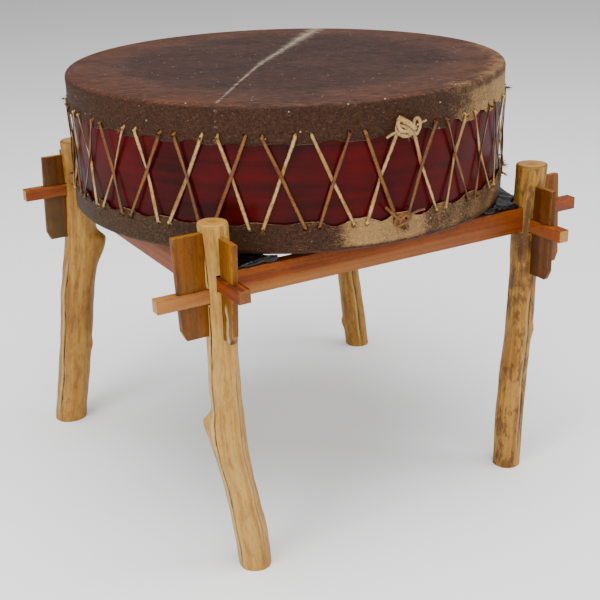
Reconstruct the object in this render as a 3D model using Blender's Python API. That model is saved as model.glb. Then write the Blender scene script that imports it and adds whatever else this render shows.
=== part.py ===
"""A wide double-headed dance drum, laced with rawhide, carried on a stand of four peeled logs.

Metres, +Z up, the floor at z = 0.  The rails of the stand run along X and Y, and the origin is on the
floor under the middle of the stand.  Corners are named as someone in front of the drum sees them:
front, right, back and left, counter-clockwise from above.
"""

import math
from dataclasses import dataclass

import bmesh
import bpy
from mathutils import Vector

# Fits
TOUCH_GAP = 0.0003            # left between pieces that touch
LACE_ROOM = 0.0004            # left on each face of a lace behind a skirt

# Drum
DRUM_RADIUS = 0.3614           # to the outside of the hide skirts
DRUM_HEIGHT = 0.217           # from head to head
DRUM_SHIFT = (-0.0012, 0.0021)  # where the drum was set down on its stand
HIDE = 0.0025                 # thickness of the hides
HIDE_SHOULDER = 0.006         # rounding where a head folds down
HIDE_FOLD = 0.0035            # the same inside
SHELL_WALL = 0.020
SHELL_EASE = 0.004            # eased outer edges of the wooden shell
SHELL_SIDES = 48

# Lacing
PAIRS = 32                    # pairs of lace holes round each skirt, an even number
FIRST_PAIR = -181.9           # degrees from +X to pair 0
KNOT_PAIR = 8                 # the pair that faces the front
LACE_WIDTH = 0.0065
LACE = 0.0018                 # thickness of the laces
LACE_LIFT = 0.0012            # slack of a strand over the edge of a skirt
LACE_CROSSING = 0.0008        # air between two strands that cross
LACE_SLANT = 30.0             # degrees that a lace may lean in its hole
HOLE_WIDTH = LACE_WIDTH / math.cos(math.radians(LACE_SLANT))
HOLE_HEIGHT = 5 * LACE
ARCH_RISE = 0.0105            # how far a lace climbs behind a skirt between its two holes
KNOT_SPREAD = 0.55            # the knot's ends, as shares of the way to the holes and of its girth
KNOT_WIDTH = 0.014
KNOT_THICKNESS = 0.009

# Stand
LOG_TO_DRUM = 0.0448          # from the drum's side to the middle of a corner joint
STAND_SKEW = 0.00175          # half of how much longer the stand is than wide
RAIL_TOP = 0.4825             # height of the rails' upper edges
RAIL_HEIGHT = 0.041
RAIL_THICKNESS = 0.019
TENON_CLEARANCE = 0.0005      # between two tenons that pass in a log
HOUSING = 0.0045              # how far a rail's shoulder is let into a log
WEDGE_THICKNESS = 0.0095
WEDGE_SEAT = 0.0015           # how far a wedge's inner edge is let into a log
WEDGE_CORNER = 0.010          # cut off the outer corner at the driven end
LOG_SIDES = 10
LOG_RINGS = 9
LOG_TURN = 6.0                # degrees, so that one flat side's edge runs over each stub
LOG_EASE = 0.0025             # eased edge of the sawn tops

# Corner straps
STRAP = 0.0109                # thickness where the drum bears
STRAP_EDGE = 0.0045           # thickness beside the log
STRAP_SEAT = 0.012            # how far a strap reaches under the drum's rim
STRAP_FROM_LOG = 0.004
STRAP_INSET = 0.001           # the strap's ends stop short of the rail's outer face


@dataclass(frozen=True)
class Skirt:
    """The part of a hide that is folded round the side of the drum."""

    name: str
    face: float          # +1 for the upper head, -1 for the lower
    depth_at_pair: float
    depth_between: float
    hole_depth: float
    half_pair: float     # from the middle of a pair to each of its holes
    drift: tuple         # degrees that pairs 0, 1, 2 and on were punched off their even places


@dataclass(frozen=True)
class Stub:
    """A cut branch or a knot that swells one side of a log."""

    height: float        # share of the log's length
    direction: float     # degrees round the log from +X
    size: float
    above: float         # how quickly it fades upwards
    below: float         # and downwards


@dataclass(frozen=True)
class Log:
    """A leg: its bends are (share of length, x, y, diameter), x and y from its corner joint."""

    name: str
    length: float
    bends: tuple
    seat: tuple          # where its middle passes the joint
    stubs: tuple


@dataclass(frozen=True)
class Wedge:
    """A flat wedge through a tenon: widths at its top and bottom and the tenon's end past it."""

    top_width: float
    bottom_width: float
    length: float
    top: float           # above the middle of the rail
    past: float


UPPER = Skirt("top_hide", 1.0, 0.056, 0.047, 0.043, 0.0118,
              (-0.8, -0.3, 1.0, 0.8, 0.1, -1.1, -1.4, -0.6, 0.0, -0.8, -1.5, -1.0, -0.5))
LOWER = Skirt("bottom_hide", -1.0, 0.047, 0.037, 0.038, 0.0100,
              (-1.2, -1.7, -2.0, -1.6, -1.7, -1.3, 0.1, 0.0, -0.8, -0.4, 0.1, 0.2))

LOGS = (
    Log("leg_front", 0.557,
        ((0.0, 0.029, -0.0215, 0.0490), (0.11, 0.024, -0.0185, 0.0515), (0.235, 0.015, -0.0115, 0.0480),
         (0.36, 0.006, -0.0055, 0.0490), (0.57, 0.002, -0.0015, 0.0468), (0.79, 0.002, 0.0005, 0.0446),
         (1.0, -0.002, 0.0035, 0.0435)),
        (0.002, 0.0005), (Stub(0.445, 150.0, 0.0135, 0.012, 0.045),)),
    Log("leg_right", 0.551,
        ((0.0, -0.011, 0.0105, 0.0485), (0.25, -0.008, 0.0095, 0.0480), (0.47, -0.002, 0.0055, 0.0470),
         (0.63, 0.0, 0.0045, 0.0460), (0.82, 0.0, 0.0042, 0.0448), (1.0, 0.005, 0.0015, 0.0515)),
        (0.0, 0.0042), (Stub(0.47, -30.0, 0.0030, 0.010, 0.014),)),
    Log("leg_back", 0.556,
        ((0.0, 0.055, 0.0265, 0.0490), (0.19, 0.039, 0.0225, 0.0490), (0.32, 0.029, 0.0205, 0.0460),
         (0.575, 0.012, 0.009, 0.0465), (0.83, 0.0, 0.0, 0.0470), (1.0, -0.003, -0.002, 0.0485)),
        (0.0, 0.0), (Stub(0.10, 150.0, 0.0040, 0.010, 0.014),)),
    Log("leg_left", 0.560,
        ((0.0, -0.045, 0.0385, 0.0600), (0.19, -0.031, 0.0275, 0.0610), (0.36, -0.020, 0.0185, 0.0620),
         (0.48, -0.013, 0.0135, 0.0640), (0.66, -0.001, 0.0036, 0.0575), (0.85, 0.004, -0.002, 0.0530),
         (1.0, 0.005, -0.0035, 0.0540)),
        (0.0036, -0.0015),
        (Stub(0.665, -30.0, 0.0190, 0.012, 0.045), Stub(0.28, -30.0, 0.003, 0.01, 0.012))),
)

# Each rail from its own first corner to the next, with the wedge at its start and at its end.
RAILS = (
    ("rail_front",
     Wedge(0.0484, 0.0414, 0.155, 0.0835, 0.034),
     Wedge(0.0370, 0.0475, 0.153, 0.0660, 0.0315)),
    ("rail_right",
     Wedge(0.0420, 0.0420, 0.151, 0.0570, 0.029),
     Wedge(0.0440, 0.0380, 0.152, 0.0700, 0.030)),
    ("rail_back",
     Wedge(0.0430, 0.0390, 0.153, 0.0720, 0.031),
     Wedge(0.0370, 0.0430, 0.153, 0.0740, 0.0355)),
    ("rail_left",
     Wedge(0.0410, 0.0400, 0.152, 0.0680, 0.030),
     Wedge(0.0405, 0.0300, 0.1525, 0.0775, 0.030)),
)

CORNERS = ((-1, -1), (1, -1), (1, 1), (-1, 1))
CORNER_NAMES = ("front", "right", "back", "left")

# What follows from the values above
CORNER_REACH = (DRUM_RADIUS + LOG_TO_DRUM) / math.sqrt(2)
HALF_X = CORNER_REACH - STAND_SKEW
HALF_Y = CORNER_REACH + STAND_SKEW
RAIL_MID = RAIL_TOP - RAIL_HEIGHT / 2
TENON_HEIGHT = (RAIL_HEIGHT - TENON_CLEARANCE) / 2
DRUM_BOTTOM = RAIL_TOP + STRAP + 2 * TOUCH_GAP
LACE_POCKET = LACE + 2 * LACE_ROOM
SKIRT_INSIDE = DRUM_RADIUS - HIDE
SHELL_RADIUS = SKIRT_INSIDE - LACE_POCKET
SHELL_HEIGHT = DRUM_HEIGHT - 2 * (HIDE + TOUCH_GAP)
PITCH = 2 * math.pi / PAIRS


def clear_scene():
    """Empty the file."""
    for item in list(bpy.data.objects):
        bpy.data.objects.remove(item, do_unlink=True)


def paint(name, colour, roughness, metallic=0.0):
    """A plain painted or natural surface."""
    material = bpy.data.materials.new(name)
    material.use_nodes = True
    shader = material.node_tree.nodes["Principled BSDF"]
    shader.inputs["Base Color"].default_value = (*colour, 1.0)
    shader.inputs["Roughness"].default_value = roughness
    shader.inputs["Metallic"].default_value = metallic
    return material


def add_piece(name, shape, material, parent=None, smooth_under=40.0):
    """Turn a finished bmesh into a named object with its faces pointing out."""
    bmesh.ops.recalc_face_normals(shape, faces=shape.faces)
    mesh = bpy.data.meshes.new(name)
    shape.to_mesh(mesh)
    shape.free()
    mesh.shade_smooth()
    mesh.set_sharp_from_angle(angle=math.radians(smooth_under))
    piece = bpy.data.objects.new(name, mesh)
    bpy.context.scene.collection.objects.link(piece)
    piece.parent = parent
    if material is not None:
        mesh.materials.append(material)
    return piece


def add_empty(name, place):
    """An empty that carries a group of pieces."""
    holder = bpy.data.objects.new(name, None)
    bpy.context.scene.collection.objects.link(holder)
    holder.location = place
    return holder


def cut(piece, cutter):
    """Cut one solid out of another."""
    cutter.hide_render = True
    cutter.display_type = "WIRE"
    step = piece.modifiers.new(cutter.name, "BOOLEAN")
    step.operation = "DIFFERENCE"
    step.solver = "EXACT"
    step.object = cutter


def extrude_outline(outline, thickness):
    """A flat outline in local X and Z, drawn out evenly to both sides along Y."""
    shape = bmesh.new()
    corners = [shape.verts.new((x, -thickness / 2, z)) for x, z in outline]
    side = shape.faces.new(corners)
    made = bmesh.ops.extrude_face_region(shape, geom=[side])
    moved = [item for item in made["geom"] if isinstance(item, bmesh.types.BMVert)]
    bmesh.ops.translate(shape, verts=moved, vec=(0, thickness, 0))
    return shape


# The logs

def between(bends, share, column):
    """A smooth curve through the bends of a log, read at a share of its length."""
    last = len(bends) - 1
    index = max(i for i in range(last) if bends[i][0] <= share or i == 0)
    start, end = bends[index], bends[index + 1]
    before, after = bends[max(index - 1, 0)], bends[min(index + 2, last)]
    step = end[0] - start[0]
    slope_in = (end[column] - before[column]) / (end[0] - before[0]) * step
    slope_out = (after[column] - start[column]) / (after[0] - start[0]) * step
    t = (share - start[0]) / step
    return ((2 * t ** 3 - 3 * t ** 2 + 1) * start[column] + (t ** 3 - 2 * t ** 2 + t) * slope_in
            + (3 * t ** 2 - 2 * t ** 3) * end[column] + (t ** 3 - t ** 2) * slope_out)


def log_middle(log, height):
    """The middle of a log at a height, from its corner joint."""
    share = min(max(height / log.length, 0.0), 1.0)
    joint = RAIL_MID / log.length
    return [between(log.bends, share, axis + 1) - between(log.bends, joint, axis + 1) + log.seat[axis]
            for axis in (0, 1)]


def log_radius(log, height, angle):
    """The radius of a log at a height and a direction, stubs included."""
    share = min(max(height / log.length, 0.0), 1.0)
    radius = between(log.bends, share, 3) / 2
    for stub in log.stubs:
        rise = height - stub.height * log.length
        fade = stub.above if rise > 0 else stub.below
        turn = math.remainder(angle - math.radians(stub.direction), 2 * math.pi)
        radius += stub.size * math.exp(-(rise / fade) ** 2 - (turn / math.radians(34)) ** 2)
    return radius


def log_reach(log, height, heading):
    """How far a log reaches from its joint in one direction, at a height."""
    x, y = log_middle(log, height)
    along = x * math.cos(heading) + y * math.sin(heading)
    return along + max(log_radius(log, height, heading + math.radians(turn)) * math.cos(math.radians(turn))
                       for turn in range(-40, 41, 10))


def build_log(log, corner, material, parent):
    """A bent, tapering log with a sawn foot and an eased top."""
    ring_heights = [log.length * i / LOG_RINGS for i in range(LOG_RINGS)]
    for stub in log.stubs:
        middle = stub.height * log.length
        near = (middle - stub.below * 0.45, middle, middle + stub.above * 1.3)
        ring_heights = [h for h in ring_heights if h == 0 or min(abs(h - n) for n in near) > 0.012]
        ring_heights += near
    ring_heights = sorted(ring_heights) + [log.length - LOG_EASE, log.length]
    shape = bmesh.new()
    rings = []
    for height in ring_heights:
        x, y = log_middle(log, height)
        ease = LOG_EASE if height == log.length else 0.0
        ring = []
        for side in range(LOG_SIDES):
            angle = 2 * math.pi * side / LOG_SIDES + math.radians(LOG_TURN)
            radius = log_radius(log, height, angle) - ease
            place = (x + radius * math.cos(angle), y + radius * math.sin(angle), height)
            ring.append(shape.verts.new(place))
        rings.append(ring)
    for low, high in zip(rings, rings[1:]):
        for side in range(LOG_SIDES):
            after = (side + 1) % LOG_SIDES
            shape.faces.new((low[side], low[after], high[after], high[side]))
    shape.faces.new(rings[0])
    shape.faces.new(rings[-1])
    piece = add_piece(log.name, shape, material, parent)
    piece.location = (corner[0] * HALF_X, corner[1] * HALF_Y, 0)
    return piece


# The rails and their wedges

def wedge_inner_edge(log, heading):
    """Where a wedge's inner edge stands, from the joint: let a little into the log."""
    return log_reach(log, RAIL_MID, heading) - WEDGE_SEAT


def wedge_width(wedge, height):
    """A wedge's width at a height above the middle of the rail."""
    share = (wedge.top - height) / wedge.length
    return wedge.top_width + (wedge.bottom_width - wedge.top_width) * share


def wedge_outline(wedge, inner, grow):
    """The outline of a wedge, X outwards from the joint and Z from the middle of the rail."""
    top, bottom = wedge.top + grow, wedge.top - wedge.length - grow
    corner_top = bottom + WEDGE_CORNER * 1.5
    return ((inner - grow, bottom),
            (inner + wedge_width(wedge, bottom) - WEDGE_CORNER * 0.7 + grow, bottom),
            (inner + wedge_width(wedge, corner_top) + grow, corner_top),
            (inner + wedge_width(wedge, top) + grow, top),
            (inner - grow, top))


def tenon_end(log, wedge, heading):
    """How far a tenon runs out from the joint."""
    return wedge_inner_edge(log, heading) + wedge_width(wedge, 0.0) + wedge.past


def rail_outline(length, start_shoulder, end_shoulder, start_tenon, end_tenon):
    """A rail with its lower half as the first tenon and its upper half as the last."""
    low, high = -RAIL_HEIGHT / 2, RAIL_HEIGHT / 2
    return ((-start_tenon, low), (length - end_shoulder, low), (length - end_shoulder, high - TENON_HEIGHT),
            (length + end_tenon, high - TENON_HEIGHT), (length + end_tenon, high), (start_shoulder, high),
            (start_shoulder, low + TENON_HEIGHT), (-start_tenon, low + TENON_HEIGHT))


def mortise_outline(shoulder, reach, lower):
    """The hole for a tenon and the housing for its rail, X towards the rail."""
    gap = TOUCH_GAP
    low, high = -RAIL_HEIGHT / 2 - gap, RAIL_HEIGHT / 2 + gap
    inside = (low, low + TENON_HEIGHT + 2 * gap) if lower else (high, high - TENON_HEIGHT - 2 * gap)
    other = high if lower else low
    return ((-reach, inside[0]), (reach, inside[0]), (reach, other), (shoulder - gap, other),
            (shoulder - gap, inside[1]), (-reach, inside[1]))


def place_at_corner(piece, corner, heading):
    """Stand a piece at a corner joint, its X turned to a heading."""
    piece.location = (corner[0] * HALF_X, corner[1] * HALF_Y, RAIL_MID)
    piece.rotation_euler = (0, 0, heading)


def build_joint(log_piece, rail_piece, log, rail_name, wedge, corner, heading, lower, materials, parent):
    """One tenon through its log: the mortise, the wedge and the slot for the wedge."""
    out = heading + math.pi if lower else heading
    shoulder = log_reach(log, RAIL_MID, out + math.pi) - HOUSING
    reach = max(log_reach(log, RAIL_MID, out + math.pi), tenon_end(log, wedge, out)) + 0.05
    part_name = f"{rail_name}_{'start' if lower else 'end'}"
    hole = extrude_outline(mortise_outline(shoulder, reach, lower), RAIL_THICKNESS + 2 * TOUCH_GAP)
    mortise = add_piece(f"mortise_{part_name}", hole, None, parent)
    place_at_corner(mortise, corner, out + math.pi)
    cut(log_piece, mortise)

    inner = wedge_inner_edge(log, out)
    groove = extrude_outline(wedge_outline(wedge, inner, TOUCH_GAP), WEDGE_THICKNESS + 2 * TOUCH_GAP)
    slot = add_piece(f"slot_{part_name}", groove, None, parent)
    place_at_corner(slot, corner, out)
    cut(log_piece, slot)
    cut(rail_piece, slot)

    board = extrude_outline(wedge_outline(wedge, inner, 0.0), WEDGE_THICKNESS)
    piece = add_piece(part_name.replace("rail", "wedge"), board, materials["wedge"], parent)
    place_at_corner(piece, corner, out)


def build_rail(index, materials, parent):
    """The rail from one corner to the next one counter-clockwise."""
    name, start_wedge, end_wedge = RAILS[index]
    heading = index * math.pi / 2
    start_log, end_log = LOGS[index], LOGS[(index + 1) % 4]
    length = 2 * (HALF_X if index % 2 == 0 else HALF_Y)
    outline = rail_outline(length,
                           log_reach(start_log, RAIL_MID, heading) - HOUSING,
                           log_reach(end_log, RAIL_MID, heading + math.pi) - HOUSING,
                           tenon_end(start_log, start_wedge, heading + math.pi),
                           tenon_end(end_log, end_wedge, heading))
    piece = add_piece(name, extrude_outline(outline, RAIL_THICKNESS), materials["rail"], parent)
    place_at_corner(piece, CORNERS[index], heading)
    return piece


# The straps across the corners

def build_strap(index, materials, parent):
    """A folded band over two rails, hugging its log and reaching under the rim of the drum."""
    log, corner = LOGS[index], CORNERS[index]
    inward_x, inward_y = -corner[0], -corner[1]
    height = RAIL_TOP + STRAP / 2
    heading_x = 0.0 if inward_x > 0 else math.pi
    heading_y = inward_y * math.pi / 2
    diagonal = math.atan2(inward_y, inward_x)
    near_x = log_reach(log, height, heading_x) + STRAP_FROM_LOG
    near_y = log_reach(log, height, heading_y) + STRAP_FROM_LOG
    hollow = []
    for turn in (-22.5, 0.0, 22.5):
        reach = log_reach(log, height, diagonal + inward_x * inward_y * math.radians(turn)) + STRAP_FROM_LOG
        hollow.append((reach * math.cos(math.radians(45 + turn)), reach * math.sin(math.radians(45 + turn))))
    drum = (HALF_X + inward_x * DRUM_SHIFT[0], HALF_Y + inward_y * DRUM_SHIFT[1])
    to_rim = (drum[0] + drum[1]) / math.sqrt(2) - DRUM_RADIUS
    rim = (to_rim + HIDE_SHOULDER) * math.sqrt(2)
    far = (to_rim + HIDE_SHOULDER + STRAP_SEAT) * math.sqrt(2)
    end = RAIL_THICKNESS / 2 - STRAP_INSET

    def top_at(x, y):
        start = min(near_x, near_y) - end
        share = min((x + y - start) / (rim - start), 1.0)
        return STRAP_EDGE + (STRAP - STRAP_EDGE) * share

    plan = ((near_x, -end), (rim + end, -end), (far + end, -end), (-end, far + end), (-end, rim + end),
            (-end, near_y), hollow[2], hollow[1], hollow[0])
    shape = bmesh.new()
    low = [shape.verts.new((inward_x * x, inward_y * y, 0)) for x, y in plan]
    high = [shape.verts.new((inward_x * x, inward_y * y, top_at(x, y))) for x, y in plan]
    shape.faces.new(low)
    shape.faces.new([high[i] for i in (1, 2, 3, 4)])
    for corners in ((8, 0, 1), (8, 1, 7), (7, 1, 4), (7, 4, 6), (6, 4, 5)):
        shape.faces.new([high[i] for i in corners])
    for i in range(len(plan)):
        after = (i + 1) % len(plan)
        shape.faces.new((low[i], low[after], high[after], high[i]))
    piece = add_piece(f"strap_{CORNER_NAMES[index]}", shape, materials["strap"], parent)
    piece.location = (corner[0] * HALF_X, corner[1] * HALF_Y, RAIL_TOP + TOUCH_GAP)


# The drum

def around(radius, angle, height):
    """A point on a cylinder about the drum's axis."""
    return Vector((radius * math.cos(angle), radius * math.sin(angle), height))


def pair_angle(skirt, number):
    """The direction of a pair of lace holes from the drum's axis."""
    place = number % PAIRS
    drift = skirt.drift[place] if place < len(skirt.drift) else 0.0
    return math.radians(FIRST_PAIR + drift) + number * PITCH


def build_shell(materials, parent):
    """The round wooden shell, open at both ends."""
    inside = SHELL_RADIUS - SHELL_WALL
    low = HIDE + TOUCH_GAP
    high = low + SHELL_HEIGHT
    profile = ((inside, low), (SHELL_RADIUS - SHELL_EASE, low), (SHELL_RADIUS, low + SHELL_EASE),
               (SHELL_RADIUS, high - SHELL_EASE), (SHELL_RADIUS - SHELL_EASE, high), (inside, high))
    shape = bmesh.new()
    points = [shape.verts.new((r, 0, z)) for r, z in profile]
    edges = [shape.edges.new((a, b)) for a, b in zip(points, points[1:] + points[:1])]
    bmesh.ops.spin(shape, geom=points + edges, axis=(0, 0, 1), cent=(0, 0, 0), dvec=(0, 0, 0),
                     angle=2 * math.pi, steps=SHELL_SIDES, use_merge=True)
    bmesh.ops.remove_doubles(shape, verts=shape.verts, dist=0.00001)
    add_piece("drum_shell", shape, materials["shell"], parent)


def skirt_height(skirt, depth):
    """The height above the drum's lowest point of what lies a depth behind a head."""
    return DRUM_HEIGHT - depth if skirt.face > 0 else depth


def skirt_rows(shape, skirt, radius, crown):
    """The rings of one surface of a hide: the edge, both sides of the holes, the fold and the head."""
    spread = skirt.half_pair / DRUM_RADIUS
    half_hole = HOLE_WIDTH / 2 / DRUM_RADIUS
    offsets = (-spread - half_hole, -spread + half_hole, spread - half_hole, spread + half_hole)

    def ring(angles, depths, ring_radius):
        return [shape.verts.new(around(ring_radius, angle, skirt_height(skirt, depth)))
                for angle, depth in zip(angles, depths)]

    holes = [pair_angle(skirt, p) + o for p in range(PAIRS) for o in offsets]
    edge = [pair_angle(skirt, p) + o for p in range(PAIRS) for o in offsets + (PITCH / 2,)]
    edge_depths = ([skirt.depth_at_pair] * 4 + [skirt.depth_between]) * PAIRS
    halves = [pair_angle(skirt, p) + o for p in range(PAIRS) for o in (0.0, PITCH / 2)]
    rows = {"edge": ring(edge, edge_depths, radius),
            "low": ring(holes, [skirt.hole_depth + HOLE_HEIGHT / 2] * len(holes), radius),
            "high": ring(holes, [skirt.hole_depth - HOLE_HEIGHT / 2] * len(holes), radius)}
    rows["crown"] = [ring(halves, [depth] * len(halves), ring_radius) for ring_radius, depth in crown]
    return rows


def face_skirt(shape, rows):
    """The faces of one surface of a hide, open at the lace holes."""
    edge, low, high, crown = rows["edge"], rows["low"], rows["high"], rows["crown"]
    for pair in range(PAIRS):
        e, h, c = pair * 5, pair * 4, pair * 2
        next_e, next_h, next_c = (e + 5) % len(edge), (h + 4) % len(high), (c + 2) % len(crown[0])
        for i in range(3):
            shape.faces.new((edge[e + i], edge[e + i + 1], low[h + i + 1], low[h + i]))
            shape.faces.new((high[h + i], high[h + i + 1], crown[0][c]))
        scallop = edge[e + 4]
        shape.faces.new((edge[e + 3], scallop, low[h + 3]))
        shape.faces.new((low[h + 3], scallop, high[h + 3]))
        shape.faces.new((scallop, high[next_h], high[h + 3]))
        shape.faces.new((scallop, low[next_h], high[next_h]))
        shape.faces.new((scallop, edge[next_e], low[next_h]))
        shape.faces.new((low[h + 1], low[h + 2], high[h + 2], high[h + 1]))
        shape.faces.new((high[h + 3], crown[0][c + 1], crown[0][c]))
        shape.faces.new((high[h + 3], high[next_h], crown[0][c + 1]))
        shape.faces.new((high[next_h], crown[0][next_c], crown[0][c + 1]))
    for first, second in zip(crown, crown[1:]):
        for i in range(len(first)):
            after = (i + 1) % len(first)
            shape.faces.new((first[i], first[after], second[after], second[i]))
    shape.faces.new(crown[-1])


def build_hide(skirt, materials, parent):
    """A head with its skirt: one hide, with its lace holes right through."""
    soft = HIDE_SHOULDER * (1 - math.sqrt(0.5))
    shape = bmesh.new()
    outer_fold = ((DRUM_RADIUS, HIDE_SHOULDER), (DRUM_RADIUS - soft, soft),
                  (DRUM_RADIUS - HIDE_SHOULDER, 0.0))
    inner_fold = ((SKIRT_INSIDE, HIDE + HIDE_FOLD), (SKIRT_INSIDE - HIDE_FOLD, HIDE))
    outer = skirt_rows(shape, skirt, DRUM_RADIUS, outer_fold)
    inner = skirt_rows(shape, skirt, SKIRT_INSIDE, inner_fold)
    face_skirt(shape, outer)
    face_skirt(shape, inner)
    for i in range(len(outer["edge"])):
        after = (i + 1) % len(outer["edge"])
        shape.faces.new((outer["edge"][i], outer["edge"][after], inner["edge"][after], inner["edge"][i]))
    for hole in range(0, PAIRS * 4, 2):
        loops = [(rows["low"][hole], rows["low"][hole + 1], rows["high"][hole + 1], rows["high"][hole])
                 for rows in (outer, inner)]
        for i in range(4):
            after = (i + 1) % 4
            shape.faces.new((loops[0][i], loops[0][after], loops[1][after], loops[1][i]))
    add_piece(skirt.name, shape, materials[skirt.name], parent, smooth_under=30.0)


def strand_crossing(skirt, ahead, number):
    """Where the strand to the next pair crosses the other one: its arc length and its share of the way."""
    start = pair_angle(skirt, number) * DRUM_RADIUS + skirt.half_pair
    end = pair_angle(ahead, number + 1) * DRUM_RADIUS - ahead.half_pair
    other_start = pair_angle(ahead, number) * DRUM_RADIUS + ahead.half_pair
    other_end = pair_angle(skirt, number + 1) * DRUM_RADIUS - skirt.half_pair
    share = (other_end - start) / (end - start + other_end - other_start)
    return start + (end - start) * share, share


def lace_stops(first_pair, under):
    """The stops of one lace as (arc length, height, radius, width, thickness) once round the drum."""
    pocket = SHELL_RADIUS + LACE_ROOM + LACE / 2
    outside = DRUM_RADIUS + TOUCH_GAP + LACE / 2 + LACE_LIFT
    crossing = pocket if under else pocket + LACE + LACE_CROSSING
    stops = []
    for number in range(first_pair, first_pair + PAIRS):
        skirt = UPPER if (number - first_pair) % 2 == 0 else LOWER
        middle = pair_angle(skirt, number) * DRUM_RADIUS
        hole = skirt_height(skirt, skirt.hole_depth)
        away = skirt.face
        half = skirt.half_pair
        outer_z = hole - away * HOLE_HEIGHT / 2
        inner_z = hole + away * HOLE_HEIGHT / 8
        plain = (LACE_WIDTH, LACE)
        knotted = number % PAIRS == KNOT_PAIR and (skirt is UPPER) == under
        stops.append((middle - half, outer_z, outside, *plain))
        if knotted:
            knot_radius = DRUM_RADIUS + TOUCH_GAP + KNOT_THICKNESS / 2
            for side, share in ((-1, KNOT_SPREAD), (0, 1.0), (1, KNOT_SPREAD)):
                stops.append((middle + side * half * KNOT_SPREAD, hole, knot_radius, KNOT_WIDTH * share,
                              KNOT_THICKNESS * share))
        else:
            stops.append((middle - half, inner_z, pocket, *plain))
            stops.append((middle, hole + away * ARCH_RISE, pocket, *plain))
            stops.append((middle + half, inner_z, pocket, *plain))
        stops.append((middle + half, outer_z, outside, *plain))
        ahead = LOWER if skirt is UPPER else UPPER
        next_z = skirt_height(ahead, ahead.hole_depth) - ahead.face * HOLE_HEIGHT / 2
        arc, share = strand_crossing(skirt, ahead, number)
        stops.append((arc, outer_z + (next_z - outer_z) * share, crossing, *plain))
    return stops


def build_lace(name, first_pair, under, materials, parent):
    """A flat thong swept round the drum through its holes, a closed ring tied in a knot."""
    stops = lace_stops(first_pair, under)
    lap = 2 * math.pi * DRUM_RADIUS
    shape = bmesh.new()
    sections = []
    for i, (arc, height, radius, width, thickness) in enumerate(stops):
        before, after = stops[i - 1], stops[(i + 1) % len(stops)]
        back = Vector((math.remainder(arc - before[0], lap), height - before[1])).normalized()
        ahead = Vector((math.remainder(after[0] - arc, lap), after[1] - height)).normalized()
        along = (back + ahead).normalized()
        half = Vector((-along.y, along.x)) * width / 2 / max(along.dot(ahead), 0.5)
        section = []
        for side, depth in ((-1, -1), (1, -1), (1, 1), (-1, 1)):
            angle = (arc + side * half.x) / DRUM_RADIUS
            place = around(radius + depth * thickness / 2, angle, height + side * half.y)
            section.append(shape.verts.new(place))
        sections.append(section)
    for i, section in enumerate(sections):
        following = sections[(i + 1) % len(sections)]
        for side in range(4):
            after = (side + 1) % 4
            shape.faces.new((section[side], section[after], following[after], following[side]))
    add_piece(name, shape, materials[name], parent)


def make_materials():
    """The colours and surfaces of the pieces."""
    return {
        "shell": paint("red_stain", (0.060, 0.006, 0.004), 0.22),
        "top_hide": paint("brown_hair", (0.080, 0.045, 0.032), 0.80),
        "bottom_hide": paint("grey_brown_hair", (0.100, 0.065, 0.045), 0.80),
        "lace_light": paint("pale_rawhide", (0.420, 0.270, 0.150), 0.60),
        "lace_dark": paint("brown_rawhide", (0.230, 0.100, 0.045), 0.55),
        "log": paint("peeled_log", (0.520, 0.340, 0.150), 0.60),
        "rail": paint("orange_board", (0.340, 0.100, 0.025), 0.45),
        "wedge": paint("wedge_wood", (0.290, 0.110, 0.025), 0.50),
        "strap": paint("black_strap", (0.010, 0.010, 0.012), 0.30),
    }


def stand_centre():
    """Where the corners' middle goes so that the stand's own box is centred on the origin."""
    ends = {"start": [], "end": []}
    for index, (_, start_wedge, end_wedge) in enumerate(RAILS):
        heading = index * math.pi / 2
        ends["start"].append(tenon_end(LOGS[index], start_wedge, heading + math.pi))
        ends["end"].append(tenon_end(LOGS[(index + 1) % 4], end_wedge, heading))
    west, east = max(ends["start"][0], ends["end"][2]), max(ends["end"][0], ends["start"][2])
    south, north = max(ends["start"][1], ends["end"][3]), max(ends["end"][1], ends["start"][3])
    return (west - east) / 2, (south - north) / 2, 0.0


def main():
    """Build the stand, then the drum on it."""
    clear_scene()
    materials = make_materials()
    stand = add_empty("stand", stand_centre())
    drum = add_empty("drum", (DRUM_SHIFT[0], DRUM_SHIFT[1], DRUM_BOTTOM))
    drum.parent = stand

    log_pieces = [build_log(log, corner, materials["log"], stand) for log, corner in zip(LOGS, CORNERS)]
    for index, (name, start_wedge, end_wedge) in enumerate(RAILS):
        rail = build_rail(index, materials, stand)
        heading = index * math.pi / 2
        following = (index + 1) % 4
        build_joint(log_pieces[index], rail, LOGS[index], name, start_wedge, CORNERS[index],
                    heading, True, materials, stand)
        build_joint(log_pieces[following], rail, LOGS[following], name, end_wedge, CORNERS[following],
                    heading, False, materials, stand)
        build_strap(index, materials, stand)

    build_shell(materials, drum)
    build_hide(UPPER, materials, drum)
    build_hide(LOWER, materials, drum)
    build_lace("lace_light", KNOT_PAIR, True, materials, drum)
    build_lace("lace_dark", KNOT_PAIR + 1, False, materials, drum)


main()
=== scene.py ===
"""The look of a laced double-headed dance drum that rests on a stand of four peeled logs.

Each sub-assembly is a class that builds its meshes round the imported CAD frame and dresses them.
Sizes are in metres, +Z is up and the floor is at z = 0, as in the CAD.
"""

import logging
import math
from collections.abc import Iterable, Sequence
from dataclasses import dataclass
from enum import Enum
from functools import cache

import bmesh
import bpy
import numpy as np
from mathutils import Matrix, Vector


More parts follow.
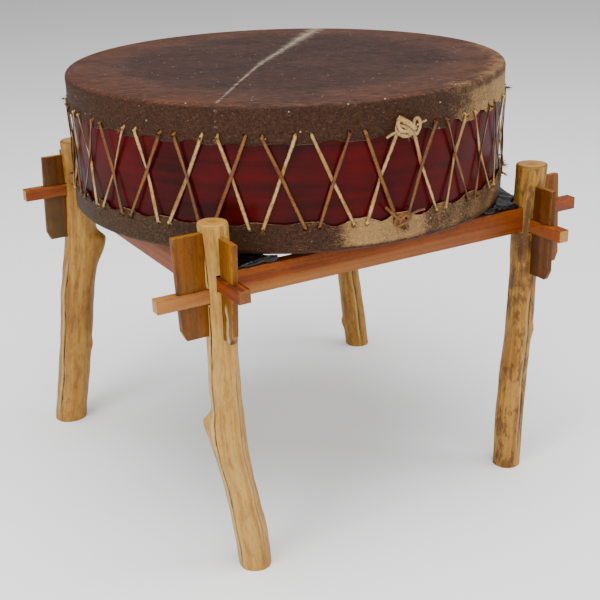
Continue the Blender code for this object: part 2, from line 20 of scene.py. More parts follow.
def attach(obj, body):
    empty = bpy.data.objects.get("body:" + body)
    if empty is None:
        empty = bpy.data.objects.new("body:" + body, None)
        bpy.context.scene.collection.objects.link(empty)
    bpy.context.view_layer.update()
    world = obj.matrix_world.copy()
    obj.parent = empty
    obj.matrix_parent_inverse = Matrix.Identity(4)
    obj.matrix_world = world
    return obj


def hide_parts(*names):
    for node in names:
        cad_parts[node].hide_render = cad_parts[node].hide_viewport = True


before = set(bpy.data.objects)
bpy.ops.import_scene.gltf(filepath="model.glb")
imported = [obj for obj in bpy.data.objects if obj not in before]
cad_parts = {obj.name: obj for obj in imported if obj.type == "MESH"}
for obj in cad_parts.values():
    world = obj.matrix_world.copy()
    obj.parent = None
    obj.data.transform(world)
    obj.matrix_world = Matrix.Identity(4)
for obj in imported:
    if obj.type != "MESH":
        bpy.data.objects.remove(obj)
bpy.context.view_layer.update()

log = logging.getLogger("drum")
Points = np.ndarray
Socket = bpy.types.NodeSocket
Piece = bpy.types.Object
TURN = 2 * math.pi

# Sizes that the CAD holds too
DRUM_CENTRE = (0.0003871, -0.0010681)
DRUM_BOTTOM = 0.494
DRUM_RADIUS = 0.3614
DRUM_HEIGHT = 0.217
HIDE = 0.0025
HIDE_SHOULDER = 0.006
SHELL_RADIUS = 0.3563
SHELL_WALL = 0.020
PAIRS = 32
FIRST_PAIR = math.radians(-181.9)
KNOT_PAIR = 8
LACE_WIDTH = 0.0065
LACE = 0.0018
HOLE_HEIGHT = 0.009
ARCH_RISE = 0.0105
STAND_CENTRE = (0.0015871, -0.0031681)
HALF_X = 0.285477
HALF_Y = 0.288977
RAIL_TOP = 0.4825
RAIL_HEIGHT = 0.041
RAIL_THICKNESS = 0.019
RAIL_MID = RAIL_TOP - RAIL_HEIGHT / 2
TENON_HEIGHT = 0.02025
HOUSING = 0.0045
WEDGE_THICKNESS = 0.0095
WEDGE_SEAT = 0.0015
WEDGE_CORNER = 0.010
STRAP = 0.0109
STRAP_EDGE = 0.0045
STRAP_SEAT = 0.012
STRAP_FROM_LOG = 0.004
TOUCH_GAP = 0.0003
CORNERS = ((-1, -1), (1, -1), (1, 1), (-1, 1))
CORNER_NAMES = ("front", "right", "back", "left")

# How many cracks a log has, and the width that they are drawn at
CRACKS = 2
CRACK_WIDTH = 0.0012

# How far colours are deepened against the pale film curve of the renderer
DEEPEN = 0.62
SATURATE = 1.22


def srgb(colour: Sequence[float]) -> tuple[float, float, float, float]:
    """A colour as it is seen, made deeper for the shader because the film curve pales it.

    Args:
        colour: Red, green and blue, 0 to 255.

    Returns:
        The shader's linear colour.
    """
    linear = [(c / 255) ** 2.2 * DEEPEN for c in colour]
    grey = 0.3 * linear[0] + 0.55 * linear[1] + 0.15 * linear[2]
    return (*[max(grey + (c - grey) * SATURATE, 0.0005) for c in linear], 1.0)


def times(colour: Sequence[float], share: float) -> tuple[float, ...]:
    """A colour made darker or lighter."""
    return tuple(c * share for c in colour)


def smooth(value: Points | float, low: float, high: float) -> Points | float:
    """A smooth step from 0 at low to 1 at high."""
    share = np.clip((value - low) / (high - low), 0.0, 1.0)
    return share * share * (3 - 2 * share)


def window(value: Points, low: float, full: float, fading: float, gone: float) -> Points:
    """Rises from 0 at low to 1 at full, and falls from 1 at fading to 0 at gone."""
    return smooth(value, low, full) * (1 - smooth(value, fading, gone))


def turned_by(angle: Points | float) -> Points | float:
    """An angle brought within half a turn of nought."""
    return np.remainder(angle + math.pi, TURN) - math.pi


def polar(radius: Points | float, angle: Points | float, height: Points | float) -> Points:
    """Points from their radius, direction and height about the Z axis."""
    radius, angle, height = np.broadcast_arrays(radius, angle, height)
    return np.stack([radius * np.cos(angle), radius * np.sin(angle), height.astype(float)], axis=-1)


def on_drum(radius: Points | float, angle: Points | float, height: Points | float) -> Points:
    """Points from their radius, direction and height about the drum's axis."""
    return polar(radius, angle, height) + np.array([*DRUM_CENTRE, 0.0])


def unevenness(points: Points, size: float, seed: int) -> Points:
    """Smooth random heights, about -1 to 1.

    Args:
        points: Places, one row each.
        size: Typical distance from one rise to the next.
        seed: Picks the pattern.

    Returns:
        One height for each place.
    """
    waves = 14
    rng = np.random.default_rng(seed)
    ways = rng.normal(size=(waves, points.shape[1]))
    ways /= np.linalg.norm(ways, axis=1)[:, None] * size * rng.uniform(0.6, 1.7, waves)[:, None]
    phases = rng.uniform(0, TURN, waves)
    return np.sin(points @ ways.T * TURN + phases).sum(1) * 1.2 / math.sqrt(waves)


class Graph:
    """Short ways to add and link nodes in one node tree."""

    def __init__(self, tree: bpy.types.NodeTree) -> None:
        """Keep the tree that nodes go in."""
        self.tree = tree

    def feed(self, socket: Socket, value: object) -> None:
        """Link a socket to an input, or set a plain value there.

        Args:
            socket: The input.
            value: Another node's output, or a value.
        """
        if isinstance(value, Socket):
            self.tree.links.new(value, socket)
        else:
            socket.default_value = value

    def add(self, kind: str, links: dict | None = None, **settings: object) -> bpy.types.Node:
        """Add a node.

        Args:
            kind: The node's type.
            links: Input name or index to a socket to link, or a plain value.
            settings: Properties of the node.

        Returns:
            The new node.
        """
        node = self.tree.nodes.new(kind)
        for name, value in settings.items():
            setattr(node, name, value)
        for key, value in (links or {}).items():
            if isinstance(key, str):
                named = [socket for socket in node.inputs if socket.name == key]
                self.feed(next((socket for socket in named if socket.enabled), named[0]), value)
            else:
                self.feed(node.inputs[key], value)
        return node

    def math(self, operation: str, *values: object) -> Socket:
        """A Math node's result."""
        return self.add("ShaderNodeMath", dict(enumerate(values)), operation=operation).outputs[0]

    def both(self, first: Socket, second: Socket) -> Socket:
        """Where two masks overlap."""
        return self.math("MULTIPLY", first, second)

    def total(self, *terms: tuple[Socket, float], start: float = 0.0) -> Socket:
        """A weighted sum.

        Args:
            terms: Each value with its weight.
            start: A number that is added.

        Returns:
            The sum.
        """
        result = start
        for value, weight in terms:
            result = self.math("MULTIPLY_ADD", value, weight, result)
        return result

    def vector_math(self, operation: str, *values: object) -> Socket:
        """A Vector Math node's result."""
        node = self.add("ShaderNodeVectorMath", dict(enumerate(values)), operation=operation)
        return node.outputs["Value" if operation == "LENGTH" else "Vector"]

    def mix(self, share: Socket, first: object, second: object) -> Socket:
        """Two colours mixed.

        Args:
            share: How much of the second one shows.
            first: A socket, or red, green and blue as they are seen.
            second: The same.

        Returns:
            The mixed colour.
        """
        node = self.add("ShaderNodeMix", {0: share}, data_type="RGBA")
        for index, value in ((6, first), (7, second)):
            self.feed(node.inputs[index], value if isinstance(value, Socket) else srgb(value))
        return node.outputs[2]

    def over(self, colour: Socket, tone: object, mask: Socket, strength: float = 1.0) -> Socket:
        """A tone laid over a colour where a mask is, at some strength."""
        return self.mix(self.math("MULTIPLY", mask, strength), colour, tone)

    def noise(self, vector: Socket, scale: object, detail: float = 4.0, roughness: float = 0.55,
              distortion: object = 0.0) -> Socket:
        """A Noise Texture's value."""
        return self.add("ShaderNodeTexNoise", {"Vector": vector, "Scale": scale, "Detail": detail, "Roughness":
                                               roughness, "Distortion": distortion}).outputs["Fac"]

    def step(self, value: Socket, low: float, high: float) -> Socket:
        """A smooth step from 0 at low to 1 at high; low may be the larger.

        Args:
            value: What the step is taken of.
            low: Where it is 0.
            high: Where it is 1.

        Returns:
            The step.
        """
        rising = float(low < high)
        return self.add("ShaderNodeMapRange", {
            "Value": value, "From Min": min(low, high), "From Max": max(low, high), "To Min": 1.0 - rising,
            "To Max": rising}, interpolation_type="SMOOTHSTEP").outputs["Result"]

    def mapping(self, vector: Socket, scale: tuple, turn: float = 0.0) -> Socket:
        """A vector turned about Z and then scaled.

        Args:
            vector: The vector.
            scale: How much along each axis.
            turn: The angle.

        Returns:
            The new vector.
        """
        if turn:
            vector = self.add("ShaderNodeMapping", {"Vector": vector, "Rotation": (0.0, 0.0, turn)}).outputs[0]
        return self.add("ShaderNodeMapping", {"Vector": vector, "Scale": scale}).outputs[0]

    def kept(self, name: str, output: str = "Fac") -> Socket:
        """A number kept on the mesh, or a vector where the output is Vector."""
        return self.add("ShaderNodeAttribute", attribute_name=name).outputs[output]

    def place(self) -> Socket:
        """The Object coordinate."""
        return self.add("ShaderNodeTexCoord").outputs["Object"]

    def bump(self, height: Socket, distance: float, strength: float) -> Socket:
        """A Bump node's normal."""
        return self.add("ShaderNodeBump", {"Height": height, "Distance": distance,
                                           "Strength": strength}).outputs[0]

    def group(self, name: str, **values: object) -> bpy.types.NodeOutputs:
        """Place one of the shared shader groups and give its outputs."""
        return self.add("ShaderNodeGroup", values, node_tree=GROUPS[name]).outputs

    def shade(self, values: dict) -> None:
        """Feed the material's Principled shader.

        Args:
            values: Its inputs by name.
        """
        for name, value in values.items():
            self.feed(self.tree.nodes["Principled BSDF"].inputs[name], value)


def start_tree(kind: str, name: str, inputs: dict, output: str, *outputs: str
               ) -> tuple[Graph, bpy.types.NodeOutputs, bpy.types.NodeInputs]:
    """Start a node group.

    Args:
        kind: The kind of tree, Shader or Geometry.
        name: The group's name.
        inputs: Input names with a socket type or a default number.
        output: The socket type of what it puts out.
        outputs: The names of what it puts out.

    Returns:
        The graph, the sockets that it is given and the ones that it puts out.
    """
    tree = bpy.data.node_groups.new(name, f"{kind}NodeTree")
    for key, value in inputs.items():
        sort = value if isinstance(value, str) else "Int" if isinstance(value, int) else "Float"
        socket = tree.interface.new_socket(name=key, in_out="INPUT", socket_type=f"NodeSocket{sort}")
        if not isinstance(value, str):
            socket.default_value = value
    for key in outputs:
        tree.interface.new_socket(name=key, in_out="OUTPUT", socket_type=f"NodeSocket{output}")
    graph = Graph(tree)
    return graph, graph.add("NodeGroupInput").outputs, graph.add("NodeGroupOutput").inputs


def wood_group() -> bpy.types.NodeTree:
    """Long fibres and growth bands that run along Z of the vector given.

    Returns:
        The node tree.
    """
    graph, given, out = start_tree("Shader", "wood_fibres", {
        "Vector": "Vector", "Across": 60.0, "Along": 3.0, "Waviness": 0.4}, "Float", "Bands", "Fibres")
    scale = graph.add("ShaderNodeCombineXYZ", {"X": given["Across"], "Y": given["Across"], "Z": given["Along"]})
    stretched = graph.vector_math("MULTIPLY", given["Vector"], scale.outputs[0])
    finer = graph.vector_math("MULTIPLY", stretched, (5.0, 5.0, 2.4))
    graph.feed(out["Bands"], graph.noise(stretched, 1.0, 3.0, 0.5, given["Waviness"]))
    graph.feed(out["Fibres"], graph.noise(finer, 1.0, 5.0, 0.62))
    return graph.tree


def blotch_group() -> bpy.types.NodeTree:
    """Soft patches: 1 where the noise is above a level.

    Returns:
        The node tree.
    """
    graph, given, out = start_tree("Shader", "blotches", {
        "Vector": "Vector", "Scale": 20.0, "Level": 0.55, "Softness": 0.1}, "Float", "Mask")
    ranged = graph.add("ShaderNodeMapRange", {
        "Value": graph.noise(given["Vector"], given["Scale"], 5.0, 0.6),
        "From Min": graph.math("SUBTRACT", given["Level"], given["Softness"]),
        "From Max": graph.math("ADD", given["Level"], given["Softness"])}, interpolation_type="SMOOTHSTEP")
    graph.feed(out["Mask"], ranged.outputs["Result"])
    return graph.tree


def fleck_group() -> bpy.types.NodeTree:
    """Small scattered flecks, 1 inside each.

    Returns:
        The node tree.
    """
    graph, given, out = start_tree("Shader", "flecks", {"Vector": "Vector", "Scale": 300.0, "Size": 0.22},
                                   "Float", "Mask")
    cells = graph.add("ShaderNodeTexVoronoi", {"Vector": given["Vector"], "Scale": given["Scale"]}).outputs
    chance = graph.add("ShaderNodeSeparateColor", {"Color": cells["Color"]}).outputs[0]
    graph.feed(out["Mask"], graph.both(graph.math("GREATER_THAN", chance, 0.72),
                                       graph.math("LESS_THAN", cells["Distance"], given["Size"])))
    return graph.tree


GROUPS = {"wood": wood_group(), "blotch": blotch_group(), "fleck": fleck_group()}


@dataclass(frozen=True)
class Finish:
    """A finish that is made into one material, once."""

    name: str

    def material(self) -> bpy.types.Material:
        """The finish's material.

        Returns:
            The material, made the first time that it is asked for.
        """
        found = bpy.data.materials.get(self.name)
        if found is None:
            found = bpy.data.materials.new(self.name)
            found.use_nodes = True
            self.dress(Graph(found.node_tree))
        return found

    def dress(self, graph: Graph) -> None:
        """Add the finish's nodes to a material's graph."""
        raise NotImplementedError


@dataclass(frozen=True)
class FloorFinish(Finish):
    """A plain pale floor."""

    def dress(self, graph: Graph) -> None:
        """Add the finish's nodes to a material's graph."""
        graph.shade({"Base Color": (0.93, 0.93, 0.93, 1), "Roughness": 0.9})


@dataclass(frozen=True)
class HideFinish(Finish):
    """Short combed hair over hide, with tan and grey patches and a pale line of hair."""

    dark: tuple = (46, 34, 31)
    middle: tuple = (36, 25, 26)
    warm: tuple = (98, 70, 61)
    red: tuple = (104, 68, 52)
    side_dark: tuple = (40, 27, 21)
    side_warm: tuple = (84, 58, 43)
    tan: tuple = (192, 156, 114)
    grey: tuple = (70, 55, 42)
    pale: tuple = (206, 194, 172)
    fleck: tuple = (196, 184, 164)
    raw: tuple = (178, 150, 118)
    nap_turn: float = math.radians(29.67)

    def dress(self, graph: Graph) -> None:
        """Add the finish's nodes to a material's graph.

        Args:
            graph: The material's graph.
        """
        place, side, rim = graph.place(), graph.kept("side"), graph.kept("rim")
        strands = graph.noise(graph.mapping(place, (60.0, 340.0, 340.0), self.nap_turn), 1.0, 6.0, 0.7, 0.15)
        broad = graph.noise(graph.mapping(place, (9.0, 17.0, 17.0), self.nap_turn), 1.0, 5.0, 0.66, 0.6)
        clouds = graph.noise(place, 5.0, 3.0, 0.5)
        speckle = graph.noise(place, 520.0, 3.0, 0.75)
        tufts = graph.noise(place, 230.0, 4.0, 0.65)
        warm = graph.mix(graph.step(graph.total((clouds, 1.0), (rim, 1.0)), 0.45, 1.1), self.warm, self.red)
        head = graph.mix(graph.step(graph.total((strands, 1.15), (broad, 0.5)), 0.55, 1.1), self.dark, warm)
        middle = graph.step(graph.total((rim, 1.0), (clouds, 0.9), start=-0.45), 0.2, -0.2)
        head = graph.over(head, self.middle, middle, 0.5)
        mottle = graph.total((speckle, 0.8), (tufts, 0.7))
        skirt = graph.mix(graph.step(mottle, 0.5, 1.05), self.side_dark, self.side_warm)
        ragged = graph.total((strands, 1.1), (speckle, 0.7), start=-0.9)
        grey = graph.step(graph.total((graph.kept("grey"), 1.0), (ragged, 1.0)), 0.25, 0.85)
        grey_hair = graph.mix(graph.step(mottle, 0.55, 0.95), times(self.grey, 0.6), times(self.grey, 1.3))
        patchy = graph.noise(place, 30.0, 4.0, 0.6)
        tan = graph.step(graph.total((graph.kept("tan"), 1.0), (ragged, 0.8), (patchy, 0.88), start=-0.44),
                         0.18, 1.0)
        tan_hair = graph.mix(graph.step(speckle, 0.38, 0.68), times(self.tan, 0.72), self.tan)
        streak = graph.step(graph.total((graph.kept("streak"), 1.0), (ragged, 3.0)), 0.35, 1.55)
        flecks = graph.group("fleck", Vector=place, Scale=75.0, Size=0.1)["Mask"]
        raw = graph.both(graph.kept("raw"), graph.step(tufts, 0.35, 0.6))
        colour = graph.mix(side, head, skirt)
        for tone, mask, strength in ((grey_hair, grey, 0.75), (tan_hair, tan, 1.0), (self.pale, streak, 0.8),
                                     (self.fleck, flecks, 0.6), (self.raw, raw, 1.0)):
            colour = graph.over(colour, tone, mask, strength)
        height = graph.mix(side, graph.total((strands, 1.0), (broad, 0.6)),
                           graph.total((speckle, 1.0), (tufts, 1.0)))
        graph.shade({"Base Color": colour, "Roughness": 0.6, "Specular IOR Level": 0.12,
                     "Normal": graph.bump(height, 0.0011, 0.55)})


@dataclass(frozen=True)
class ShellFinish(Finish):
    """Dark red stain under a gloss, with the wood's grain running round the drum."""

    deep: tuple = (42, 7, 4)
    bright: tuple = (92, 15, 6)
    pore: tuple = (34, 6, 4)

    def dress(self, graph: Graph) -> None:
        """Add the finish's nodes to a material's graph.

        Args:
            graph: The material's graph.
        """
        unrolled = graph.kept("unrolled", "Vector")
        wood = graph.group("wood", Vector=unrolled, Across=70.0, Along=2.6, Waviness=0.5)
        tone = graph.total((wood["Bands"], 0.45), (graph.noise(unrolled, 5.0, 3.0, 0.6), 0.9))
        colour = graph.mix(graph.step(tone, 0.42, 0.95), self.deep, self.bright)
        colour = graph.over(colour, self.pore, graph.step(wood["Fibres"], 0.62, 0.72), 0.35)
        rough = graph.total((graph.step(wood["Bands"], 0.2, 0.9), 0.1), start=0.4)
        graph.shade({"Base Color": colour, "Roughness": rough, "Specular IOR Level": 0.05, "Coat Weight": 0.1,
                     "Coat Roughness": 0.14, "Normal": graph.bump(wood["Fibres"], 0.0005, 0.35)})


@dataclass(frozen=True)
class ThongFinish(Finish):
    """Raw hide lacing: pale along its middle and darker along the edges, where shade is painted, with dirty spots in
    the edges' colour.
    """

    middle: tuple
    # edge: the colour of the painted shade along the borders, also laid on as dirt
    edge: tuple
    stain: tuple

    def dress(self, graph: Graph) -> None:
        """Add the finish's nodes to a material's graph.

        Args:
            graph: The material's graph.
        """
        place = graph.place()
        fine = graph.noise(place, 260.0, 4.0, 0.6)
        # Painted shade: the colour darkens towards the thong's edges and stands for the shade along its borders.
        edge = graph.step(graph.total((graph.kept("rim"), 1.0), (fine, 1.6), start=-0.8), 0.3, 0.95)
        colour = graph.mix(edge, self.middle, self.edge)
        colour = graph.over(colour, self.stain, graph.step(graph.noise(place, 22.0, 4.0, 0.6), 0.42, 0.62), 0.8)
        dirt = graph.step(graph.noise(place, 110.0, 5.0, 0.7), 0.5, 0.66)
        graph.shade({"Base Color": graph.over(colour, self.edge, dirt, 0.55), "Roughness": 0.42,
                     "Specular IOR Level": 0.3, "Normal": graph.bump(fine, 0.0006, 0.5)})


@dataclass(frozen=True)
class LogFinish(Finish):
    """A peeled, dried log: pale sapwood with brown streaks, knots, cracks and sawn end grain."""

    pale: tuple
    honey: tuple
    streak: tuple
    mottle: float
    flecks: float = 0.0
    fleck: tuple = (226, 214, 190)
    knot: tuple = (66, 42, 24)
    # crack: painted shade inside each drying crack
    crack: tuple = (48, 30, 18)
    lip: tuple = (236, 214, 168)
    sawn_dark: tuple = (170, 124, 72)
    sawn_pale: tuple = (206, 164, 106)
    heart: tuple = (138, 92, 50)
    rim: tuple = (110, 70, 36)

    def dress(self, graph: Graph) -> None:
        """Add the finish's nodes to a material's graph.

        Args:
            graph: The material's graph.
        """
        straight = graph.kept("straight", "Vector")
        wood = graph.group("wood", Vector=straight, Across=150.0, Along=6.0, Waviness=0.5)
        tone = graph.total((wood["Bands"], 0.8), (graph.noise(straight, 9.0, 3.0), 0.5))
        colour = graph.mix(graph.step(tone, 0.48, 0.86), self.pale, self.honey)
        long = graph.noise(graph.mapping(straight, (75.0, 75.0, 2.6)), 1.0, 4.0, 0.6)
        patches, spots = [graph.group("blotch", Vector=graph.mapping(straight, scale), Scale=1.0, Level=level,
                                      Softness=softness)["Mask"]
                          for scale, level, softness in (((30.0, 30.0, 11.0), 0.58, 0.09),
                                                         ((110.0, 110.0, 38.0), 0.55, 0.05))]
        dashes = graph.noise(graph.mapping(straight, (1.0, 1.0, 0.22)), 420.0, 4.0, 0.7)
        for mask, strength in ((graph.step(wood["Fibres"], 0.56, 0.76), 0.6), (graph.step(long, 0.58, 0.68), 0.45),
                               (patches, self.mottle), (spots, self.mottle * 0.75),
                               (graph.step(dashes, 0.53, 0.7), 0.5)):
            colour = graph.over(colour, self.streak, mask, strength)
        if self.flecks:
            flecks = graph.group("fleck", Vector=graph.mapping(straight, (1.0, 1.0, 0.6)), Scale=300.0, Size=0.26)
            colour = graph.over(colour, self.fleck, flecks["Mask"], self.flecks)
        colour = graph.over(colour, self.knot, graph.kept("dark"))
        away = graph.vector_math("LENGTH", graph.vector_math("MULTIPLY", straight, (1.0, 1.0, 0.0)))
        colour = self.cracked(graph, colour, straight, away)
        wavy = graph.total((away, 1.0), (graph.noise(straight, 40.0), 0.004))
        rings = graph.math("SINE", graph.math("MULTIPLY", wavy, 2600.0))
        sawn = graph.mix(graph.step(rings, -0.6, 1.0), self.sawn_dark, self.sawn_pale)
        heart = graph.step(graph.total((away, 1.0), (graph.noise(straight, 90.0), 0.012)), 0.0155, 0.0125)
        sawn = graph.over(sawn, self.heart, heart, 0.5)
        sawn = graph.over(sawn, self.rim, graph.step(away, 0.0205, 0.0225), 0.7)
        height = graph.total((wood["Fibres"], 1.0), (wood["Bands"], 0.8))
        graph.shade({"Base Color": graph.over(colour, sawn, graph.kept("end")), "Roughness": 0.5,
                     "Specular IOR Level": 0.25, "Normal": graph.bump(height, 0.0009, 0.5)})

    def cracked(self, graph: Graph, colour: Socket, straight: Socket, away: Socket) -> Socket:
        """Draw the drying cracks as dark lines of painted shade, each with a pale lip beside it.

        Args:
            graph: The material's graph.
            colour: The wood's colour.
            straight: The place on the log as if it were straight.
            away: The distance from its middle.

        Returns:
            The colour with the cracks.
        """
        spot = graph.add("ShaderNodeSeparateXYZ", {0: straight}).outputs
        direction = graph.math("ARCTAN2", spot["Y"], spot["X"])
        shake = graph.total((graph.noise(straight, 160.0, 3.0), 0.0016), start=-0.0008)
        for number in range(CRACKS):
            turn = graph.math("WRAP", graph.math("SUBTRACT", direction, graph.kept(f"crack_{number}")), math.pi,
                              -math.pi)
            beside, here = graph.math("MULTIPLY_ADD", turn, away, shake), graph.kept(f"open_{number}")
            line = graph.step(graph.math("ABSOLUTE", beside), 0.0014, 0.0004)
            lip = graph.both(graph.step(beside, -0.0012, -0.003), graph.step(beside, -0.008, -0.0045))
            # Painted shade: a dark line down the crack's slit.
            colour = graph.over(colour, self.crack, graph.both(line, here))
            colour = graph.over(colour, self.lip, graph.both(lip, here), 0.35)
        return colour


@dataclass(frozen=True)
class BoardFinish(Finish):
    """A planed board: grain along its length, end grain and worn edges, and perhaps a sapwood stripe."""

    light: tuple
    deep: tuple
    end: tuple
    edge: tuple
    across: float = 120.0
    weathered: tuple = (122, 104, 82)
    stripe: tuple = ()
    stripe_pale: tuple = (206, 196, 148)
    stripe_edge: tuple = (74, 48, 22)

    def dress(self, graph: Graph) -> None:
        """Add the finish's nodes to a material's graph.

        Args:
            graph: The material's graph.
        """
        grain = graph.kept("grain", "Vector")
        wood = graph.group("wood", Vector=grain, Across=self.across, Along=2.5, Waviness=0.8)
        tone = graph.total((wood["Bands"], 0.8), (graph.noise(grain, 14.0, 3.0), 0.4))
        colour = graph.mix(graph.step(tone, 0.42, 0.82), self.light, self.deep)
        grime = graph.noise(graph.mapping(grain, (1.0, 1.0, 0.3)), 330.0, 4.0, 0.7)
        weather = graph.both(graph.kept("weather"), graph.step(wood["Bands"], 0.25, 0.6))
        for tone, mask, strength in ((times(self.deep, 0.55), graph.step(wood["Fibres"], 0.56, 0.74), 0.5),
                                     (times(self.deep, 0.6), graph.step(grime, 0.5, 0.68), 0.45),
                                     (self.weathered, weather, 1.0), (self.end, graph.kept("pale"), 0.55)):
            colour = graph.over(colour, tone, mask, strength)
        if self.stripe:
            middle, top = self.stripe
            spot = graph.add("ShaderNodeSeparateXYZ", {0: grain}).outputs
            wander = graph.total((graph.noise(grain, 45.0, 3.0), 0.02), start=middle - 0.01)
            away = graph.math("ABSOLUTE", graph.math("SUBTRACT", spot["X"], wander))
            inside = graph.both(graph.step(away, 0.0055, 0.0015), graph.step(spot["Z"], top, top - 0.012))
            border = graph.both(graph.step(away, 0.008, 0.0055), graph.step(away, 0.004, 0.0055))
            colour = graph.over(colour, self.stripe_pale, inside, 0.75)
            colour = graph.over(colour, self.stripe_edge, border, 0.6)
        sawn = graph.mix(graph.step(graph.noise(grain, 420.0, 3.0), 0.4, 0.65), self.end, times(self.end, 0.78))
        worn = graph.mix(graph.step(graph.noise(grain, 60.0, 4.0, 0.6), 0.42, 0.6), times(self.deep, 0.45),
                         self.edge)
        colour = graph.over(graph.over(colour, sawn, graph.kept("end")), worn, graph.kept("edge"), 0.7)
        graph.shade({"Base Color": colour, "Roughness": 0.46, "Specular IOR Level": 0.2,
                     "Normal": graph.bump(wood["Fibres"], 0.0006, 0.4)})


@dataclass(frozen=True)
class StrapFinish(Finish):
    """Black rubbery strap, creased and shiny."""

    black: tuple = (12, 12, 14)
    dusty: tuple = (30, 28, 28)

    def dress(self, graph: Graph) -> None:
        """Add the finish's nodes to a material's graph.

        Args:
            graph: The material's graph.
        """
        place = graph.place()
        dust = graph.noise(place, 240.0, 4.0, 0.7)
        graph.shade({"Base Color": graph.mix(graph.step(dust, 0.55, 0.75), self.black, self.dusty),
                     "Roughness": graph.total((graph.step(dust, 0.4, 0.8), 0.2), start=0.24),
                     "Specular IOR Level": 0.3,
                     "Normal": graph.bump(graph.noise(place, 60.0, 4.0, 0.6, 1.2), 0.0025, 0.4)})


class WedgeLook(Enum):
    """The sorts of wood that the wedges are split from."""

    PLAIN = BoardFinish("split_wedge", (138, 88, 38), (94, 58, 24), (156, 108, 56), (180, 132, 74), 90.0)
    SAPWOOD = BoardFinish("split_wedge_with_sapwood", (150, 100, 48), (108, 68, 30), (156, 108, 56),
                          (190, 144, 86), 90.0, stripe=(0.036, -0.014))
    DARK = BoardFinish("dark_split_wedge", (112, 68, 28), (64, 38, 18), (150, 104, 56), (158, 114, 64), 110.0,
                       (86, 72, 48))


class TenonLook(Enum):
    """How a rail's tenons differ from the rest of it."""

    PLAIN = "plain"
    PALE = "pale at the start"
    RED = "red at the end"


# The rail's light and deep colours are its orange wood darkened further to paint in the shade that the drum throws
# over the rails.
RAIL_FINISH = BoardFinish("planed_rail_with_painted_shade", (148, 82, 34), (108, 56, 22), (206, 156, 102), (172, 106, 54),
                          weathered=(92, 42, 24))
PALE_LOG = LogFinish("pale_peeled_log", (212, 172, 112), (184, 138, 80), (128, 84, 44), 0.35)
STAINED_LOG = LogFinish("stained_peeled_log", (194, 150, 92), (146, 100, 54), (78, 48, 24), 0.85, 0.12)
HONEY_LOG = LogFinish("honey_peeled_log", (194, 152, 96), (160, 114, 64), (108, 70, 36), 0.45)


def link(name: str, data: bpy.types.ID) -> Piece:
    """Put a mesh, a light or a camera in the scene.

    Args:
        name: The object's name.
        data: What it shows.

    Returns:
        The object, at the origin.
    """
    thing = bpy.data.objects.new(name, data)
    bpy.context.scene.collection.objects.link(thing)
    return thing


def from_shape(name: str, shape: bmesh.types.BMesh) -> Piece:
    """Make a piece of a shape, with its faces turned outwards.

    Args:
        name: The piece's name.
        shape: The shape, which is used up.

    Returns:
        The piece.
    """
    bmesh.ops.recalc_face_normals(shape, faces=shape.faces[:])
    mesh = bpy.data.meshes.new(name)
    shape.to_mesh(mesh)
    shape.free()
    return link(name, mesh)


def keep(piece: Piece, name: str, values: Points) -> None:
    """Keep one number or vector for each point of a mesh.

    Args:
        piece: The mesh's piece.
        name: What a material calls it.
        values: One value or row for each point.
    """
    kind, field = ("FLOAT", "value") if values.ndim == 1 else ("FLOAT_VECTOR", "vector")
    layer = piece.data.attributes.new(name, kind, "POINT")
    layer.data.foreach_set(field, np.ascontiguousarray(values, np.float32).ravel())


def read(piece: Piece, field: str = "co") -> Points:
    """The places of a mesh's points, or their normals, one row each.

    Args:
        piece: The mesh's piece.
        field: What is read, co or normal.

    Returns:
        One row for each point.
    """
    values = np.zeros(len(piece.data.vertices) * 3, np.float32)
    piece.data.vertices.foreach_get(field, values)
    return values.reshape(-1, 3).astype(float)


def move_points(piece: Piece, places: Points) -> None:
    """Put a mesh's points at new places."""
    piece.data.vertices.foreach_set("co", np.ascontiguousarray(places, np.float32).ravel())
    piece.data.update()


def bake_modifiers(piece: Piece) -> None:
    """Turn what the modifiers make into the piece's plain mesh.

    Args:
        piece: The piece.
    """
    bpy.context.view_layer.update()
    graph = bpy.context.evaluated_depsgraph_get()
    baked = bpy.data.meshes.new_from_object(piece.evaluated_get(graph), preserve_all_data_layers=True,
                                            depsgraph=graph)
    piece.modifiers.clear()
    piece.data = baked


def hand_over(piece: Piece, node: str) -> None:
    """Let a finished piece stand for its CAD node.

    Args:
        piece: The piece, at the origin.
        node: The CAD node it replaces.
    """
    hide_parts(node)
    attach(piece, "root")
    triangles = sum(len(face.vertices) - 2 for face in piece.data.polygons)
    log.info("%s stands for %s: %d triangles", piece.name, node, triangles)


def band(lower: Sequence[int], upper: Sequence[int]) -> list[tuple[int, ...]]:
    """The four-cornered faces between two rings of points."""
    count = len(lower)
    return [(lower[i], lower[(i + 1) % count], upper[(i + 1) % count], upper[i]) for i in range(count)]


